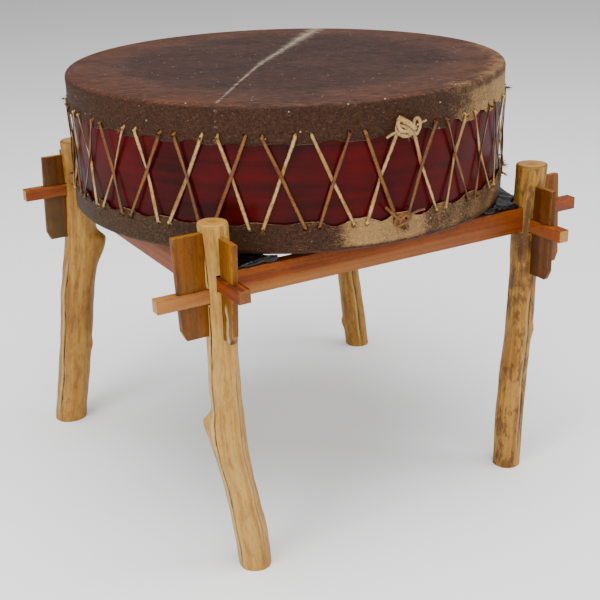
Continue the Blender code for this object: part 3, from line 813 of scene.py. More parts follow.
class Net:
    """The points and faces of a piece while it is put together."""

    def __init__(self) -> None:
        """Start with nothing."""
        self.points: list[Points] = []
        self.faces: list[tuple[int, ...]] = []
        self.total = 0

    def put(self, places: Points) -> Points:
        """Add points in rows.

        Args:
            places: Their places, with any number of rows.

        Returns:
            Their numbers, in the same rows.
        """
        flat = places.reshape(-1, 3)
        self.points.append(flat)
        self.total += len(flat)
        return np.arange(self.total - len(flat), self.total).reshape(places.shape[:-1])

    def piece(self, name: str, finish: Finish, sharp_over: float = 180.0) -> Piece:
        """Make the piece, without the points that no face uses.

        Args:
            name: The piece's name.
            finish: Its finish.
            sharp_over: Edges that bend more than these degrees stay sharp.

        Returns:
            The piece, with its faces turned outwards.
        """
        points = np.vstack(self.points)
        used = sorted({corner for face in self.faces for corner in face})
        index = np.full(len(points), -1)
        index[used] = np.arange(len(used))
        mesh = bpy.data.meshes.new(name)
        mesh.from_pydata(points[used].tolist(), [], [[int(index[c]) for c in face] for face in self.faces])
        mesh.validate()
        shape = bmesh.new()
        shape.from_mesh(mesh)
        bpy.data.meshes.remove(mesh)
        piece = from_shape(name, shape)
        piece.data.shade_smooth()
        if sharp_over < 180:
            piece.data.set_sharp_from_angle(angle=math.radians(sharp_over))
        piece.data.materials.append(finish.material())
        return piece


# The drum


@dataclass(frozen=True)
class Skirt:
    """The part of a hide that is folded round the side of the drum."""

    node: str
    face: float
    depth_at_pair: float
    depth_between: float
    hole_depth: float
    half_pair: float
    hole_columns: int
    drift: tuple
    arches: tuple

    def height(self, depth: Points | float) -> Points | float:
        """The height of what lies a depth behind the head."""
        return DRUM_BOTTOM + (DRUM_HEIGHT - depth if self.face > 0 else depth)

    def pair_angle(self, number: int) -> float:
        """The direction of a pair of lace holes from the drum's axis."""
        drift = dict(enumerate(self.drift)).get(number % PAIRS, 0.0)
        return FIRST_PAIR + math.radians(drift) + number * TURN / PAIRS


UPPER = Skirt("top_hide", 1.0, 0.056, 0.047, 0.043, 0.0118, 4,
              (-0.8, -0.3, 1.0, 0.8, 0.1, -1.1, -1.4, -0.6, 0.0, -0.8, -1.5, -1.0, -0.5),
              (0.7, 0.6, 0.7, 0.5, 0.3, 0.2, 0.35, 0.5, 0.6, 0.9, 1.0, 1.0))
LOWER = Skirt("bottom_hide", -1.0, 0.047, 0.037, 0.038, 0.0100, 3,
              (-1.2, -1.7, -2.0, -1.6, -1.7, -1.3, 0.1, 0.0, -0.8, -0.4, 0.1, 0.2),
              (0.8, 0.7, 0.5, 0.5, 0.5, 0.25, 0.75, 0.9, 0.9, 0.6, 0.5, 0.6))

# The pale line of hair across the head: X, Y and half width from place to place
PALE_LINE = ((-0.2500, -0.2470, 0.0012), (-0.149, -0.123, 0.0017), (-0.078, -0.039, 0.0024),
             (-0.041, 0.003, 0.0032), (0.014, 0.059, 0.0042), (0.083, 0.127, 0.0062),
             (0.138, 0.186, 0.0085), (0.223, 0.268, 0.0105))


@dataclass(frozen=True)
class Hide:
    """A head and its skirt, with round puckered lace holes and a ragged lower edge."""

    skirt: Skirt
    finish: HideFinish
    columns: int = 24
    hole_row: int = 4
    hole_reach: int = 2
    hole_step: float = 0.0026
    hole_half: float = 0.0031
    hole_stretch: float = 1.12
    row_step: float = 0.0029
    head_rings: int = 56
    usual_arch: float = 0.7
    ease: float = 0.0004

    def column_angles(self) -> Points:
        """The direction of each column, with whole columns at the holes.

        Returns:
            One direction for each column.
        """
        spread, near, half = self.skirt.half_pair / DRUM_RADIUS, self.skirt.hole_columns, self.columns // 2
        local = np.arange(-half, half)
        found = []
        for pair in range(PAIRS):
            before, here, after = [self.skirt.pair_angle(pair + n) for n in (-1, 0, 1)]
            reach = np.where(local < 0, here - before, after - here) / 2
            outer = np.sign(local) * (spread + (np.abs(local) - near) / (half - near) * (reach - spread))
            found.append(here + np.where(np.abs(local) <= near, local / near * spread, outer))
        return np.concatenate(found)

    def away_from_pair(self) -> Points:
        """For each column, 0 beside a pair of holes and 1 midway to the next pair."""
        half, near = self.columns // 2, self.skirt.hole_columns + 1
        return np.tile(np.clip((np.abs(np.arange(-half, half)) - near) / (half - near), 0, 1), PAIRS)

    def edge_depth(self, angles: Points) -> Points:
        """How deep the skirt's edge hangs.

        Args:
            angles: The direction of each column.

        Returns:
            One depth for each column.
        """
        skirt, share = self.skirt, self.away_from_pair()
        gaps = np.array([*skirt.arches, *[self.usual_arch] * (PAIRS - len(skirt.arches))])
        sides = np.stack([np.roll(gaps, 1), gaps], axis=1)
        away = share * (2 - share) * np.repeat(sides, self.columns // 2, axis=1).ravel()
        circle = polar(1.0, angles, 0.0)[:, :2]
        ragged = unevenness(circle, 0.12, 5) * 0.0012 + unevenness(circle, 0.03, 9) * 0.0005
        return skirt.depth_at_pair + (skirt.depth_between - skirt.depth_at_pair) * away + ragged * (
            0.4 + 0.6 * away)

    def row_depths(self) -> list[float]:
        """The rows' depths at a pair.

        Returns:
            The depths from the edge to the fold.
        """
        holes = [self.skirt.hole_depth + n * self.hole_step for n in (2, 1, 0, -1, -2)]
        rows = [self.skirt.depth_at_pair, (self.skirt.depth_at_pair + holes[0]) / 2, *holes]
        count = max(int((holes[-1] - HIDE_SHOULDER) / self.row_step), 2)
        return rows + [holes[-1] + (HIDE_SHOULDER - holes[-1]) * (n + 1) / count for n in range(count)]

    @cache
    def sheet(self, inside: bool) -> tuple[Points, Points, Points]:
        """One face of the skirt.

        Args:
            inside: Whether it is the flesh side.

        Returns:
            The radius, angle and depth of each point of its grid.
        """
        angles = self.column_angles()
        share = (self.edge_depth(angles) - HIDE_SHOULDER) / (self.skirt.depth_at_pair - HIDE_SHOULDER)
        depth = HIDE_SHOULDER + (np.array(self.row_depths())[:, None] - HIDE_SHOULDER) * share[None, :]
        angle = np.broadcast_to(angles, depth.shape)
        hang = np.clip((depth - 0.02) / 0.03, 0, 1)
        swell = unevenness(polar(1.0, angle, depth * 3).reshape(-1, 3), 0.22, 3).reshape(depth.shape) * 0.0005
        free = smooth(self.away_from_pair(), 0.2, 1.0)[None, :]
        radius = DRUM_RADIUS - self.ease + swell * (1 - hang) + hang ** 2 * free * 0.0012
        return radius - (HIDE if inside else 0.0), angle, depth

    def lay(self, net: Net, inside: bool) -> tuple[Points, int]:
        """Lay the points of one face, from the skirt's edge over the fold to the middle of the head.

        Args:
            net: Where they go.
            inside: Whether it is the flesh side.

        Returns:
            The points' numbers in rows, and the number of the middle one.
        """
        radius, angle, depth = self.sheet(inside)
        wall = HIDE if inside else 0.0
        fold, flat = HIDE_SHOULDER - wall, DRUM_RADIUS - self.ease - HIDE_SHOULDER
        steps = 4 if inside else self.head_rings
        rings = [(flat + fold * math.cos(t), wall + fold * (1 - math.sin(t)))
                 for t in np.linspace(0, math.pi / 2, 4 if inside else 6)[1:]]
        rings += [(flat * (1 - (n + 1) / (steps + 1)), wall) for n in range(steps)]
        wide, deep = [np.repeat(column[:, None], angle.shape[1], axis=1) for column in np.array(rings).T]
        rows = net.put(on_drum(np.vstack([radius, wide]), angle[0], self.skirt.height(np.vstack([depth, deep]))))
        return rows, int(net.put(on_drum(0.0, 0.0, self.skirt.height(wall))))

    def hole(self, net: Net, rows: Points, column: int, angle: float, inside: bool) -> tuple[Points, set]:
        """Round off the grid at one hole.

        Args:
            net: Where the new points and faces go.
            rows: The numbers of the face's points.
            column: The grid column through the hole.
            angle: The hole's direction.
            inside: Whether it is the flesh side.

        Returns:
            The hole's rim and the grid cells that the hole takes up.
        """
        near = range(-self.hole_reach, self.hole_reach)
        back = range(self.hole_reach, -self.hole_reach, -1)
        down, across_from = self.hole_reach * -1, self.hole_reach
        walk = np.array([(down, c) for c in near] + [(r, across_from) for r in near]
                        + [(across_from, c) for c in back] + [(r, down) for r in back])
        row, col = self.hole_row + walk[:, 0], (column + walk[:, 1]) % rows.shape[1]
        radius, angles, depth = [values[row, col] for values in self.sheet(inside)]
        square = np.stack([turned_by(angles - angle) * DRUM_RADIUS, depth - self.skirt.hole_depth], axis=1)
        circle = square / np.linalg.norm(square, axis=1)[:, None] * self.hole_half * (1, self.hole_stretch)
        ring = rows[row, col]
        for share, lift in ((0.5, 0.0005), (1.0, 0.0001)):
            spots = square + (circle - square) * share
            inner = net.put(on_drum(radius + (0.0 if inside else lift), angle + spots[:, 0] / DRUM_RADIUS,
                                    self.skirt.height(self.skirt.hole_depth + spots[:, 1])))
            net.faces += self.turn(band(ring, inner), inside)
            ring = inner
        return ring, {(self.hole_row + r, (column + c) % rows.shape[1]) for r in near for c in near}

    def turn(self, faces: Iterable[tuple[int, ...]], backwards: bool) -> list[tuple[int, ...]]:
        """Faces in the order that makes them point outwards on this head."""
        return [face if (self.skirt.face > 0) != backwards else face[::-1] for face in faces]

    def build(self) -> Piece:
        """The hide as one closed mesh.

        Returns:
            The piece.
        """
        net = Net()
        grids = [self.lay(net, inside) for inside in (False, True)]
        rims = []
        for inside, (rows, pole) in zip((False, True), grids):
            cut, around = set(), []
            for pair in range(PAIRS):
                for side in (-1, 1):
                    rim, cells = self.hole(
                        net, rows, pair * self.columns + self.columns // 2 + side * self.skirt.hole_columns,
                        self.skirt.pair_angle(pair) + side * self.skirt.half_pair / DRUM_RADIUS, inside)
                    cut |= cells
                    around.append(rim)
            for row in range(len(rows) - 1):
                net.faces += self.turn([quad for column, quad in enumerate(band(rows[row], rows[row + 1]))
                                        if (row, column) not in cut], inside)
            net.faces += self.turn([(quad[0], quad[1], pole) for quad in band(rows[-1], rows[-1])], inside)
            rims.append(around)
        outer, inner = [rows[0] for rows, _ in grids]
        points = np.vstack(net.points)
        edge = net.put((points[outer] + points[inner]) / 2 - np.array([0.0, 0.0, self.skirt.face * 0.0009]))
        for first, second in ((outer, edge), (edge, inner), *zip(*rims)):
            net.faces += self.turn(band(first, second), True)
        piece = net.piece(f"{self.skirt.node}_hair", self.finish)
        self.colour(piece)
        return piece

    def colour(self, piece: Piece) -> None:
        """Keep on the mesh where the hair is tan, grey, pale or worn through.

        Args:
            piece: The hide.
        """
        places = read(piece) - np.array([*DRUM_CENTRE, 0.0])
        radius = np.hypot(places[:, 0], places[:, 1])
        angle = np.degrees(np.arctan2(places[:, 1], places[:, 0]))
        depth = np.abs(places[:, 2] - self.skirt.height(0.0))
        if self.skirt.face > 0:
            on_skirt = smooth(depth, 0.002, 0.016) * (0.42 + 0.5 * smooth(angle, -80, -52))
            on_skirt = np.minimum(on_skirt + 0.3 * smooth(depth, 0.03, 0.055), 1.0)
            on_head = smooth(radius, 0.31, 0.361) * 0.5
            tan = window(angle, -90, -66, -22, 2) * np.where(depth > 0.001, np.maximum(on_skirt, on_head * 0.8),
                                                             on_head)
            grey = 0.25 * smooth(-angle, 150, 170) * smooth(depth, 0, 0.02)
            streak = self.streak(places, depth, angle)
        else:
            patches = (window(angle, -113, -103, -92, -78) * 0.95, window(angle, -96, -84, 0, 20) * 0.42,
                       window(angle, -126, -116, -108, -100) * 0.22)
            tan = np.max(patches, axis=0) * smooth(depth, 0.002, 0.010)
            grey = np.maximum(np.where(angle > 0, 1.0, 1 - smooth(angle, -156, -138)),
                              0.4 * window(angle, -88, -82, -76, -70))
            streak = np.zeros(len(places))
        raw = smooth(DRUM_RADIUS - 0.0012 - radius, 0.0, 0.0006) * smooth(depth, 0.004, 0.008)
        for name, values in (("side", smooth(depth, 0.0015, 0.006)), ("tan", tan), ("grey", grey),
                             ("streak", streak), ("rim", 0.6 * smooth(radius, 0.22, 0.35) - 0.2), ("raw", raw)):
            keep(piece, name, values)

    @staticmethod
    def streak(places: Points, depth: Points, angle: Points) -> Points:
        """How near each place is to the pale line of hair that crosses the head.

        Args:
            places: Places from the drum's axis.
            depth: Their depths behind the head.
            angle: Their directions in degrees.

        Returns:
            One number for each place, 1 on the line.
        """
        near = np.zeros(len(places))
        for start, end in zip(np.array(PALE_LINE), np.array(PALE_LINE)[1:]):
            way, off = (end - start)[:2], places[:, :2] - start[:2]
            share = np.clip(off @ way / (way @ way), 0, 1)
            away = np.linalg.norm(off - share[:, None] * way, axis=1)
            near = np.maximum(near, 1 - np.clip(away / ((start[2] + (end[2] - start[2]) * share) * 3), 0, 1))
        faint = np.clip(1 - np.abs(angle + 135.2) * 6.2 / 2.2, 0, 1) * 0.62
        return np.where(depth > 0.004, faint, near)


@dataclass
class Shell:
    """The wooden shell behind the lacing."""

    sides: int = 240
    rows: int = 24
    ease: float = 0.004

    def build(self) -> Piece:
        """The shell as a closed ring with eased edges.

        Returns:
            The piece.
        """
        low = DRUM_BOTTOM + HIDE + TOUCH_GAP
        high = DRUM_BOTTOM + DRUM_HEIGHT - HIDE - TOUCH_GAP
        inside, eased = SHELL_RADIUS - SHELL_WALL, SHELL_RADIUS - self.ease
        profile = [(inside, low), (eased, low)]
        profile += [(SHELL_RADIUS - TOUCH_GAP, low + self.ease + (high - low - 2 * self.ease) * n / self.rows)
                    for n in range(self.rows + 1)]
        profile += [(eased, high), (inside, high)]
        angles = np.linspace(0, TURN, self.sides, endpoint=False)
        net, rings, unrolled = Net(), [], []
        for radius, height in profile:
            wave = unevenness(polar(1.0, angles, height * 3), 0.5, 17) * 0.0002
            rings.append(net.put(on_drum(radius - np.abs(wave), angles, height)))
            unrolled.append(np.stack([np.cos(angles) * 0.02, np.full_like(angles, height), angles * DRUM_RADIUS],
                                     axis=1))
        for lower, upper in zip(rings, [*rings[1:], rings[0]]):
            net.faces += band(lower, upper)
        piece = net.piece("drum_shell_wood", ShellFinish("red_stained_wood"), 35.0)
        keep(piece, "unrolled", np.vstack(unrolled))
        return piece


def stored(graph: Graph, geometry: Socket, rim: object) -> Socket:
    """Geometry that keeps the number rim, which the thong's material reads to paint shade towards the thong's edges.
    """
    return graph.add("GeometryNodeStoreNamedAttribute", {"Geometry": geometry, "Name": "rim", "Value": rim},
                     data_type="FLOAT", domain="POINT").outputs[0]


def own_vector(graph: Graph, name: str) -> Socket:
    """A vector kept on the points that a tree is given."""
    return graph.add("GeometryNodeInputNamedAttribute", {"Name": name}, data_type="FLOAT_VECTOR").outputs[0]


def random_vector(graph: Graph, least: object, most: object, seed: Socket) -> Socket:
    """A random vector for each point.

    Args:
        graph: The tree's graph.
        least: The least of each axis.
        most: The most of each axis.
        seed: Picks the vectors.

    Returns:
        The vector.
    """
    node = graph.add("FunctionNodeRandomValue", {"Min": least, "Max": most, "Seed": seed},
                     data_type="FLOAT_VECTOR")
    return next(socket for socket in node.outputs if socket.enabled)


def on_points(graph: Graph, points: Socket, shape: bpy.types.Node, rim: float, **ways: Socket) -> Socket:
    """A copy of a shape on each point, as plain geometry that keeps the number rim.

    Args:
        graph: The tree's graph.
        points: The points.
        shape: The node that makes the shape.
        rim: The number.
        ways: Each copy's Rotation or Scale.

    Returns:
        The geometry.
    """
    placed = graph.add("GeometryNodeInstanceOnPoints", {"Points": points, "Instance": shape.outputs[0], **ways})
    plain = graph.add("GeometryNodeRealizeInstances", {"Geometry": placed.outputs[0]})
    return stored(graph, plain.outputs[0], rim)


def start_growth(name: str, inputs: dict) -> tuple[Graph, bpy.types.NodeOutputs, bpy.types.NodeInputs]:
    """Start a Geometry Nodes tree with its sizes as named inputs."""
    return start_tree("Geometry", name, {"Geometry": "Geometry", **inputs, "Material": "Material"}, "Geometry",
                      "Geometry")


def finish_growth(graph: Graph, given: bpy.types.NodeOutputs, out: bpy.types.NodeInputs,
                  shape: Socket) -> bpy.types.NodeTree:
    """End a tree in Realize Instances and Set Material.

    Args:
        graph: The tree's graph.
        given: The sockets that the tree is given.
        out: The sockets that it puts out.
        shape: What it has made.

    Returns:
        The tree.
    """
    plain = graph.add("GeometryNodeRealizeInstances", {"Geometry": shape})
    dressed = graph.add("GeometryNodeSetMaterial", {"Geometry": plain.outputs[0], "Material": given["Material"]})
    graph.feed(out["Geometry"], dressed.outputs[0])
    return graph.tree


def thong_tree() -> bpy.types.NodeTree:
    """A node tree that sweeps a troughed thong along the curve it is given.

    Returns:
        The node tree.
    """
    graph, given, out = start_growth("thong_along_a_curve", {
        "Width": LACE_WIDTH, "Thickness": LACE, "Trough": 0.0008, "Paleness": 0.0})
    curve = graph.add("GeometryNodeMeshToCurve", {"Mesh": given["Geometry"]})
    facing = graph.add("GeometryNodeSetCurveNormal", {
        "Curve": curve.outputs[0], "Normal": own_vector(graph, "facing")}, mode="FREE")
    ring = graph.add("GeometryNodeCurvePrimitiveCircle", {"Resolution": 12, "Radius": 1.0})
    where = graph.add("ShaderNodeSeparateXYZ", {0: graph.add("GeometryNodeInputPosition").outputs[0]}).outputs
    across = graph.both(where["X"], graph.math("MULTIPLY", given["Width"], 0.5))
    thick = graph.both(where["Y"], graph.math("MULTIPLY", given["Thickness"], 0.5))
    cup = graph.both(graph.both(where["X"], where["X"]), given["Trough"])
    up = graph.total((cup, 1.0), (given["Trough"], -0.5), (thick, 1.0))
    # rim grows towards the thong's edges, where the material paints shade; Paleness lessens it.
    rim = graph.math("SUBTRACT", graph.math("ABSOLUTE", where["X"]), given["Paleness"])
    shaped = graph.add("GeometryNodeSetPosition", {
        "Geometry": stored(graph, ring.outputs[0], rim),
        "Position": graph.add("ShaderNodeCombineXYZ", {"X": up, "Y": across}).outputs[0]})
    swept = graph.add("GeometryNodeCurveToMesh", {"Curve": facing.outputs[0], "Profile Curve": shaped.outputs[0]})
    return finish_growth(graph, given, out, swept.outputs[0])


def fold_tree() -> bpy.types.NodeTree:
    """A node tree that puts one squashed fold of hide on each point it is given.

    Returns:
        The node tree.
    """
    graph, given, out = start_growth("folds_on_points", {"Size": 0.0026, "Variation": 0.3, "Seed": 7})
    ball = graph.add("GeometryNodeMeshIcoSphere", {"Radius": 1.0, "Subdivisions": 2})
    spread = random_vector(graph, graph.math("SUBTRACT", 1.0, given["Variation"]),
                           graph.math("ADD", 1.0, given["Variation"]), given["Seed"])
    size = graph.add("ShaderNodeVectorMath", {0: spread, "Scale": given["Size"]}, operation="SCALE").outputs[0]
    return finish_growth(graph, given, out, on_points(graph, given["Geometry"], ball, -0.3, Scale=size))


def tuft_tree() -> bpy.types.NodeTree:
    """A node tree that grows a spray of short tapered hairs from each point it is given.

    Returns:
        The node tree.
    """
    graph, given, out = start_growth("hairs_on_points", {"Length": 0.008, "Radius": 0.0004, "Hairs": 6, "Seed": 3})
    copies = graph.add("GeometryNodeDuplicateElements", {"Geometry": given["Geometry"], "Amount": given["Hairs"]},
                       domain="POINT")
    hair = graph.add("GeometryNodeMeshCone", {"Vertices": 5, "Radius Top": 0.00008,
                                              "Radius Bottom": given["Radius"], "Depth": given["Length"]})
    spread = random_vector(graph, (-0.8, -0.8, -1.3), (0.8, 0.8, 0.3), given["Seed"])
    way = graph.vector_math("ADD", spread, own_vector(graph, "away"))
    turn = graph.add("FunctionNodeAlignRotationToVector", {"Vector": way}, axis="Z").outputs[0]
    return finish_growth(graph, given, out, on_points(graph, copies.outputs[0], hair, 2.0, Rotation=turn))


TREES = {"thong": thong_tree(), "fold": fold_tree(), "tuft": tuft_tree()}


def grown(tree: str, places: Points, edges: Sequence = (), vectors: dict | None = None,
          **inputs: object) -> Piece:
    """Run a Geometry Nodes tree over some points and keep what it makes.

    Args:
        tree: The tree's short name.
        places: The points.
        edges: Pairs of points that are joined.
        vectors: Vectors that the points keep for the tree.
        inputs: The tree's inputs.

    Returns:
        The result as a plain mesh.
    """
    mesh = bpy.data.meshes.new(tree)
    mesh.from_pydata(places.tolist(), edges, [])
    piece = link(tree, mesh)
    for name, values in (vectors or {}).items():
        keep(piece, name, values)
    modifier = piece.modifiers.new(tree, "NODES")
    modifier.node_group = TREES[tree]
    for item in TREES[tree].interface.items_tree:
        if item.item_type == "SOCKET" and item.in_out == "INPUT" and item.name in inputs:
            modifier[item.identifier] = inputs[item.name]
    bake_modifiers(piece)
    return piece


def bend(before: Points, here: Points, after: Points, reach: float) -> list[Points]:
    """Round off one corner of a route.

    Args:
        before: The corner before it.
        here: The corner.
        after: The corner after it.
        reach: How far before and after the corner the bend starts.

    Returns:
        Places along the bend.
    """
    start, end = [here + way * min(reach / np.linalg.norm(way), 0.45) for way in (before - here, after - here)]
    return [start * (1 - t) ** 2 + here * 2 * t * (1 - t) + end * t ** 2 for t in (0, 0.25, 0.5, 0.75, 1)]


def even_steps(route: Points, step: float, closed: bool) -> Points:
    """Points along a route an even step apart.

    Args:
        route: The route.
        step: The distance between them.
        closed: Whether the last place leads to the first.

    Returns:
        The points.
    """
    track = np.vstack([route, route[:1]]) if closed else route
    lengths = np.concatenate([[0], np.cumsum(np.linalg.norm(np.diff(track, axis=0), axis=1))])
    wanted = np.linspace(0, lengths[-1], max(int(lengths[-1] / step), 2) + 1)[:-1 if closed else None]
    return np.stack([np.interp(wanted, lengths, column) for column in track.T], axis=1)


@dataclass(frozen=True)
class Tie:
    """One length of thong in a knot: its route in the knot's own arc, rise and lift, and its width."""

    route: tuple
    width: float = LACE_WIDTH
    closed: bool = False

    def smoothed(self) -> Points:
        """The route with its corners rounded off, in even steps.

        Returns:
            The places.
        """
        stops = np.array(self.route, float)
        found = []
        for i, here in enumerate(stops):
            loose = not self.closed and i in (0, len(stops) - 1)
            found += [here] if loose else bend(stops[i - 1], here, stops[(i + 1) % len(stops)], 0.006)
        return even_steps(np.array(found), 0.0018, self.closed)


TOP_TIES = (
    Tie(((-0.015, 0.014, 0.004), (-0.007, 0.010, 0.007), (0.003, 0.003, 0.009), (0.013, -0.005, 0.006)), 0.0085),
    Tie(((-0.013, 0.003, 0.003), (-0.007, 0.002, 0.005), (0.000, -0.002, 0.006), (0.008, -0.004, 0.005))),
    Tie(((-0.016, 0.004, 0.003), (-0.018, -0.005, 0.005), (-0.009, -0.012, 0.006), (0.002, -0.013, 0.006),
         (0.011, -0.009, 0.005))),
    Tie(((-0.014, 0.013, 0.004), (-0.018, 0.004, 0.007), (-0.012, -0.005, 0.008), (-0.001, -0.006, 0.006),
         (0.009, -0.008, 0.005))),
    Tie(((0.009, 0.004, 0.006), (0.011, 0.011, 0.007), (0.016, 0.011, 0.008), (0.020, 0.004, 0.007),
         (0.020, -0.006, 0.005), (0.015, -0.013, 0.005), (0.011, -0.010, 0.006)), 0.0055, True),
    Tie(((-0.012, -0.004, 0.005), (-0.020, -0.006, 0.004), (-0.027, -0.009, 0.003), (-0.032, -0.013, 0.002)),
        0.0045),
    Tie(((0.014, 0.001, 0.007), (0.020, 0.003, 0.006), (0.031, 0.005, 0.006)), 0.0032))
BOTTOM_TIES = (
    Tie(((-0.013, -0.004, 0.002), (-0.010, 0.006, 0.005), (-0.001, 0.009, 0.007), (0.008, 0.007, 0.006),
         (0.012, -0.001, 0.004))),
    Tie(((-0.006, -0.003, 0.005), (-0.003, 0.006, 0.008), (0.003, 0.008, 0.009), (0.007, 0.002, 0.008),
         (0.006, -0.010, 0.004), (0.000, -0.012, 0.003), (-0.005, -0.009, 0.004)), 0.0055, True),
    Tie(((-0.012, -0.010, 0.003), (-0.002, -0.006, 0.007), (0.007, 0.000, 0.009), (0.013, 0.008, 0.006)), 0.0055),
    Tie(((-0.005, 0.001, 0.007), (-0.013, 0.006, 0.007), (-0.021, 0.014, 0.005), (-0.029, 0.023, 0.004)), 0.0042),
    Tie(((0.005, 0.002, 0.007), (0.014, 0.008, 0.007), (0.024, 0.010, 0.006), (0.036, 0.010, 0.006)), 0.0038),
    Tie(((0.002, -0.006, 0.006), (0.006, -0.012, 0.004), (0.009, -0.017, 0.003)), 0.0045))


@dataclass
class Lace:
    """One thong that runs once round the drum through both skirts and ends in a knot."""

    node: str
    first_pair: int
    under: bool
    knotted_at: Skirt
    finish: ThongFinish
    ties: tuple
    knot_tufts: tuple = ((-0.004, -0.010), (0.002, -0.013), (0.006, -0.009))
    frayed: float = 0.3
    rolled: float = 0.86
    step: float = 0.0035
    bend: float = 0.0032
    trough: float = 0.0009
    crossing_shake: float = 0.0003

    def stops(self) -> Points:
        """The corners of the route.

        Returns:
            Arc, height and radius of each.
        """
        pocket = SHELL_RADIUS + 0.0004 + LACE / 2
        outside = DRUM_RADIUS + TOUCH_GAP + LACE / 2 + 0.0009
        crossing = pocket if self.under else pocket + LACE + 0.0008
        rng = np.random.default_rng(self.first_pair)
        found = []
        for number in range(self.first_pair, self.first_pair + PAIRS):
            skirt, ahead = (UPPER, LOWER) if (number - self.first_pair) % 2 == 0 else (LOWER, UPPER)
            middle, half = skirt.pair_angle(number) * DRUM_RADIUS, skirt.half_pair
            hole = skirt.height(skirt.hole_depth)
            outer_z = hole - skirt.face * HOLE_HEIGHT * 0.30
            inner_z = hole + skirt.face * HOLE_HEIGHT / 8
            next_z = ahead.height(ahead.hole_depth) - ahead.face * HOLE_HEIGHT * 0.30
            arc, share = self.crossing(skirt, ahead, number)
            found += [(middle - half, outer_z, outside), (middle - half, inner_z, pocket),
                      (middle, hole + skirt.face * ARCH_RISE, pocket), (middle + half, inner_z, pocket),
                      (middle + half, outer_z, outside),
                      (arc + rng.normal(0, self.crossing_shake), outer_z + (next_z - outer_z) * share, crossing)]
        return np.array(found)

    @staticmethod
    def crossing(skirt: Skirt, ahead: Skirt, number: int) -> tuple[float, float]:
        """Where the strand to the next pair crosses the other one.

        Args:
            skirt: The skirt that the strand leaves.
            ahead: The skirt that it goes to.
            number: The pair that it leaves.

        Returns:
            The arc length, and the share of the way along the strand.
        """
        start, other_start = [s.pair_angle(number) * DRUM_RADIUS + s.half_pair for s in (skirt, ahead)]
        other_end, end = [s.pair_angle(number + 1) * DRUM_RADIUS - s.half_pair for s in (skirt, ahead)]
        share = (other_end - start) / (end - start + other_end - other_start)
        return start + (end - start) * share, share

    def build(self) -> Piece:
        """The thong with its knot, its folds and its tufts, as one mesh.

        Returns:
            The piece.
        """
        stops = self.stops()
        lap = np.array([TURN * DRUM_RADIUS, 0, 0])
        longer = np.vstack([stops[-1:] - lap, stops, stops[:2] + lap])
        route = [spot for corner in zip(longer, longer[1:], longer[2:]) for spot in bend(*corner, self.bend)]
        flat = even_steps(np.array(route[:len(stops) * 5 + 1]), self.step, False)[:-1]
        parts = [self.sweep(flat, LACE_WIDTH * self.rolled, True, 0)]
        knot = np.array([self.knotted_at.pair_angle(KNOT_PAIR) * DRUM_RADIUS,
                         self.knotted_at.height(self.knotted_at.hole_depth), DRUM_RADIUS + 0.0006 + LACE / 2])
        parts += [self.sweep(knot + tie.smoothed(), tie.width, tie.closed, index + 1)
                  for index, tie in enumerate(self.ties)]
        outer = np.vstack([stops[0::6], stops[4::6]])
        parts += [self.folds(outer), self.tufts(outer, knot)]
        shape = bmesh.new()
        for part in parts:
            shape.from_mesh(part.data)
            bpy.data.objects.remove(part)
        piece = from_shape(f"{self.node}_thong", shape)
        piece.data.shade_smooth()
        piece.data.materials.append(self.finish.material())
        return piece

    def sweep(self, spots: Points, width: float, closed: bool, index: int) -> Piece:
        """Sweep one stretch of thong.

        Args:
            spots: Its way as arc, height and radius.
            width: Its width.
            closed: Whether it is a loop.
            index: 0 for the lace, or the tie's number in the knot.

        Returns:
            The stretch.
        """
        angles = spots[:, 0] / DRUM_RADIUS
        places, radial = on_drum(spots[:, 2], angles, spots[:, 1]), polar(1.0, angles, 0.0)
        ahead = np.roll(places, -1, axis=0) - np.roll(places, 1, axis=0)
        if not closed:
            ahead[0], ahead[-1] = places[1] - places[0], places[-1] - places[-2]
        ahead /= np.linalg.norm(ahead, axis=1)[:, None]
        lean = unevenness(places, 0.07, 40 + index)[:, None] * (0.1 if index else 0.3)
        facing = radial + np.cross(ahead, radial) * lean
        facing -= ahead * (facing * ahead).sum(1)[:, None]
        facing /= np.linalg.norm(facing, axis=1)[:, None]
        last = len(places) - 1
        edges = [(i, i + 1) for i in range(last)] + ([(last, 0)] if closed else [])
        thong = grown("thong", places, edges, {"facing": facing}, Width=width,
                      Thickness=LACE * (1.7 if index else 1.0), Trough=self.trough * (0.3 if index else 1.0),
                      Paleness=0.1 if index else 0.0, Material=self.finish.material())
        if not closed:
            shape = bmesh.new()
            shape.from_mesh(thong.data)
            bmesh.ops.holes_fill(shape, edges=[e for e in shape.edges if e.is_boundary], sides=0)
            shape.to_mesh(thong.data)
            shape.free()
        return thong

    def folds(self, outer: Points) -> Piece:
        """The small fold where each strand comes out of its hole.

        Args:
            outer: Where the strands come out.

        Returns:
            The folds.
        """
        places = on_drum(DRUM_RADIUS + TOUCH_GAP + LACE + 0.0006, outer[:, 0] / DRUM_RADIUS, outer[:, 1])
        return grown("fold", places, Size=0.0021, Variation=0.35, Seed=7 + self.first_pair,
                     Material=self.finish.material())

    def tufts(self, outer: Points, knot: Points) -> Piece:
        """Sprays of hair at the knot and at some of the holes.

        Args:
            outer: Where the strands come out.
            knot: The knot's arc, height and radius.

        Returns:
            The hairs.
        """
        rng = np.random.default_rng(self.first_pair + 50)
        chosen = outer[rng.random(len(outer)) < self.frayed]
        spots = np.vstack([chosen, knot * (1, 1, 0) + np.array([(x, z, 0.0) for x, z in self.knot_tufts])])
        angles = spots[:, 0] / DRUM_RADIUS
        places = on_drum(DRUM_RADIUS + TOUCH_GAP + LACE + 0.0015, angles, spots[:, 1])
        return grown("tuft", places, (), {"away": polar(1.0, angles, 0.0)}, Length=0.010, Radius=0.0006, Hairs=8,
                     Seed=self.first_pair, Material=self.finish.material())


# The stand


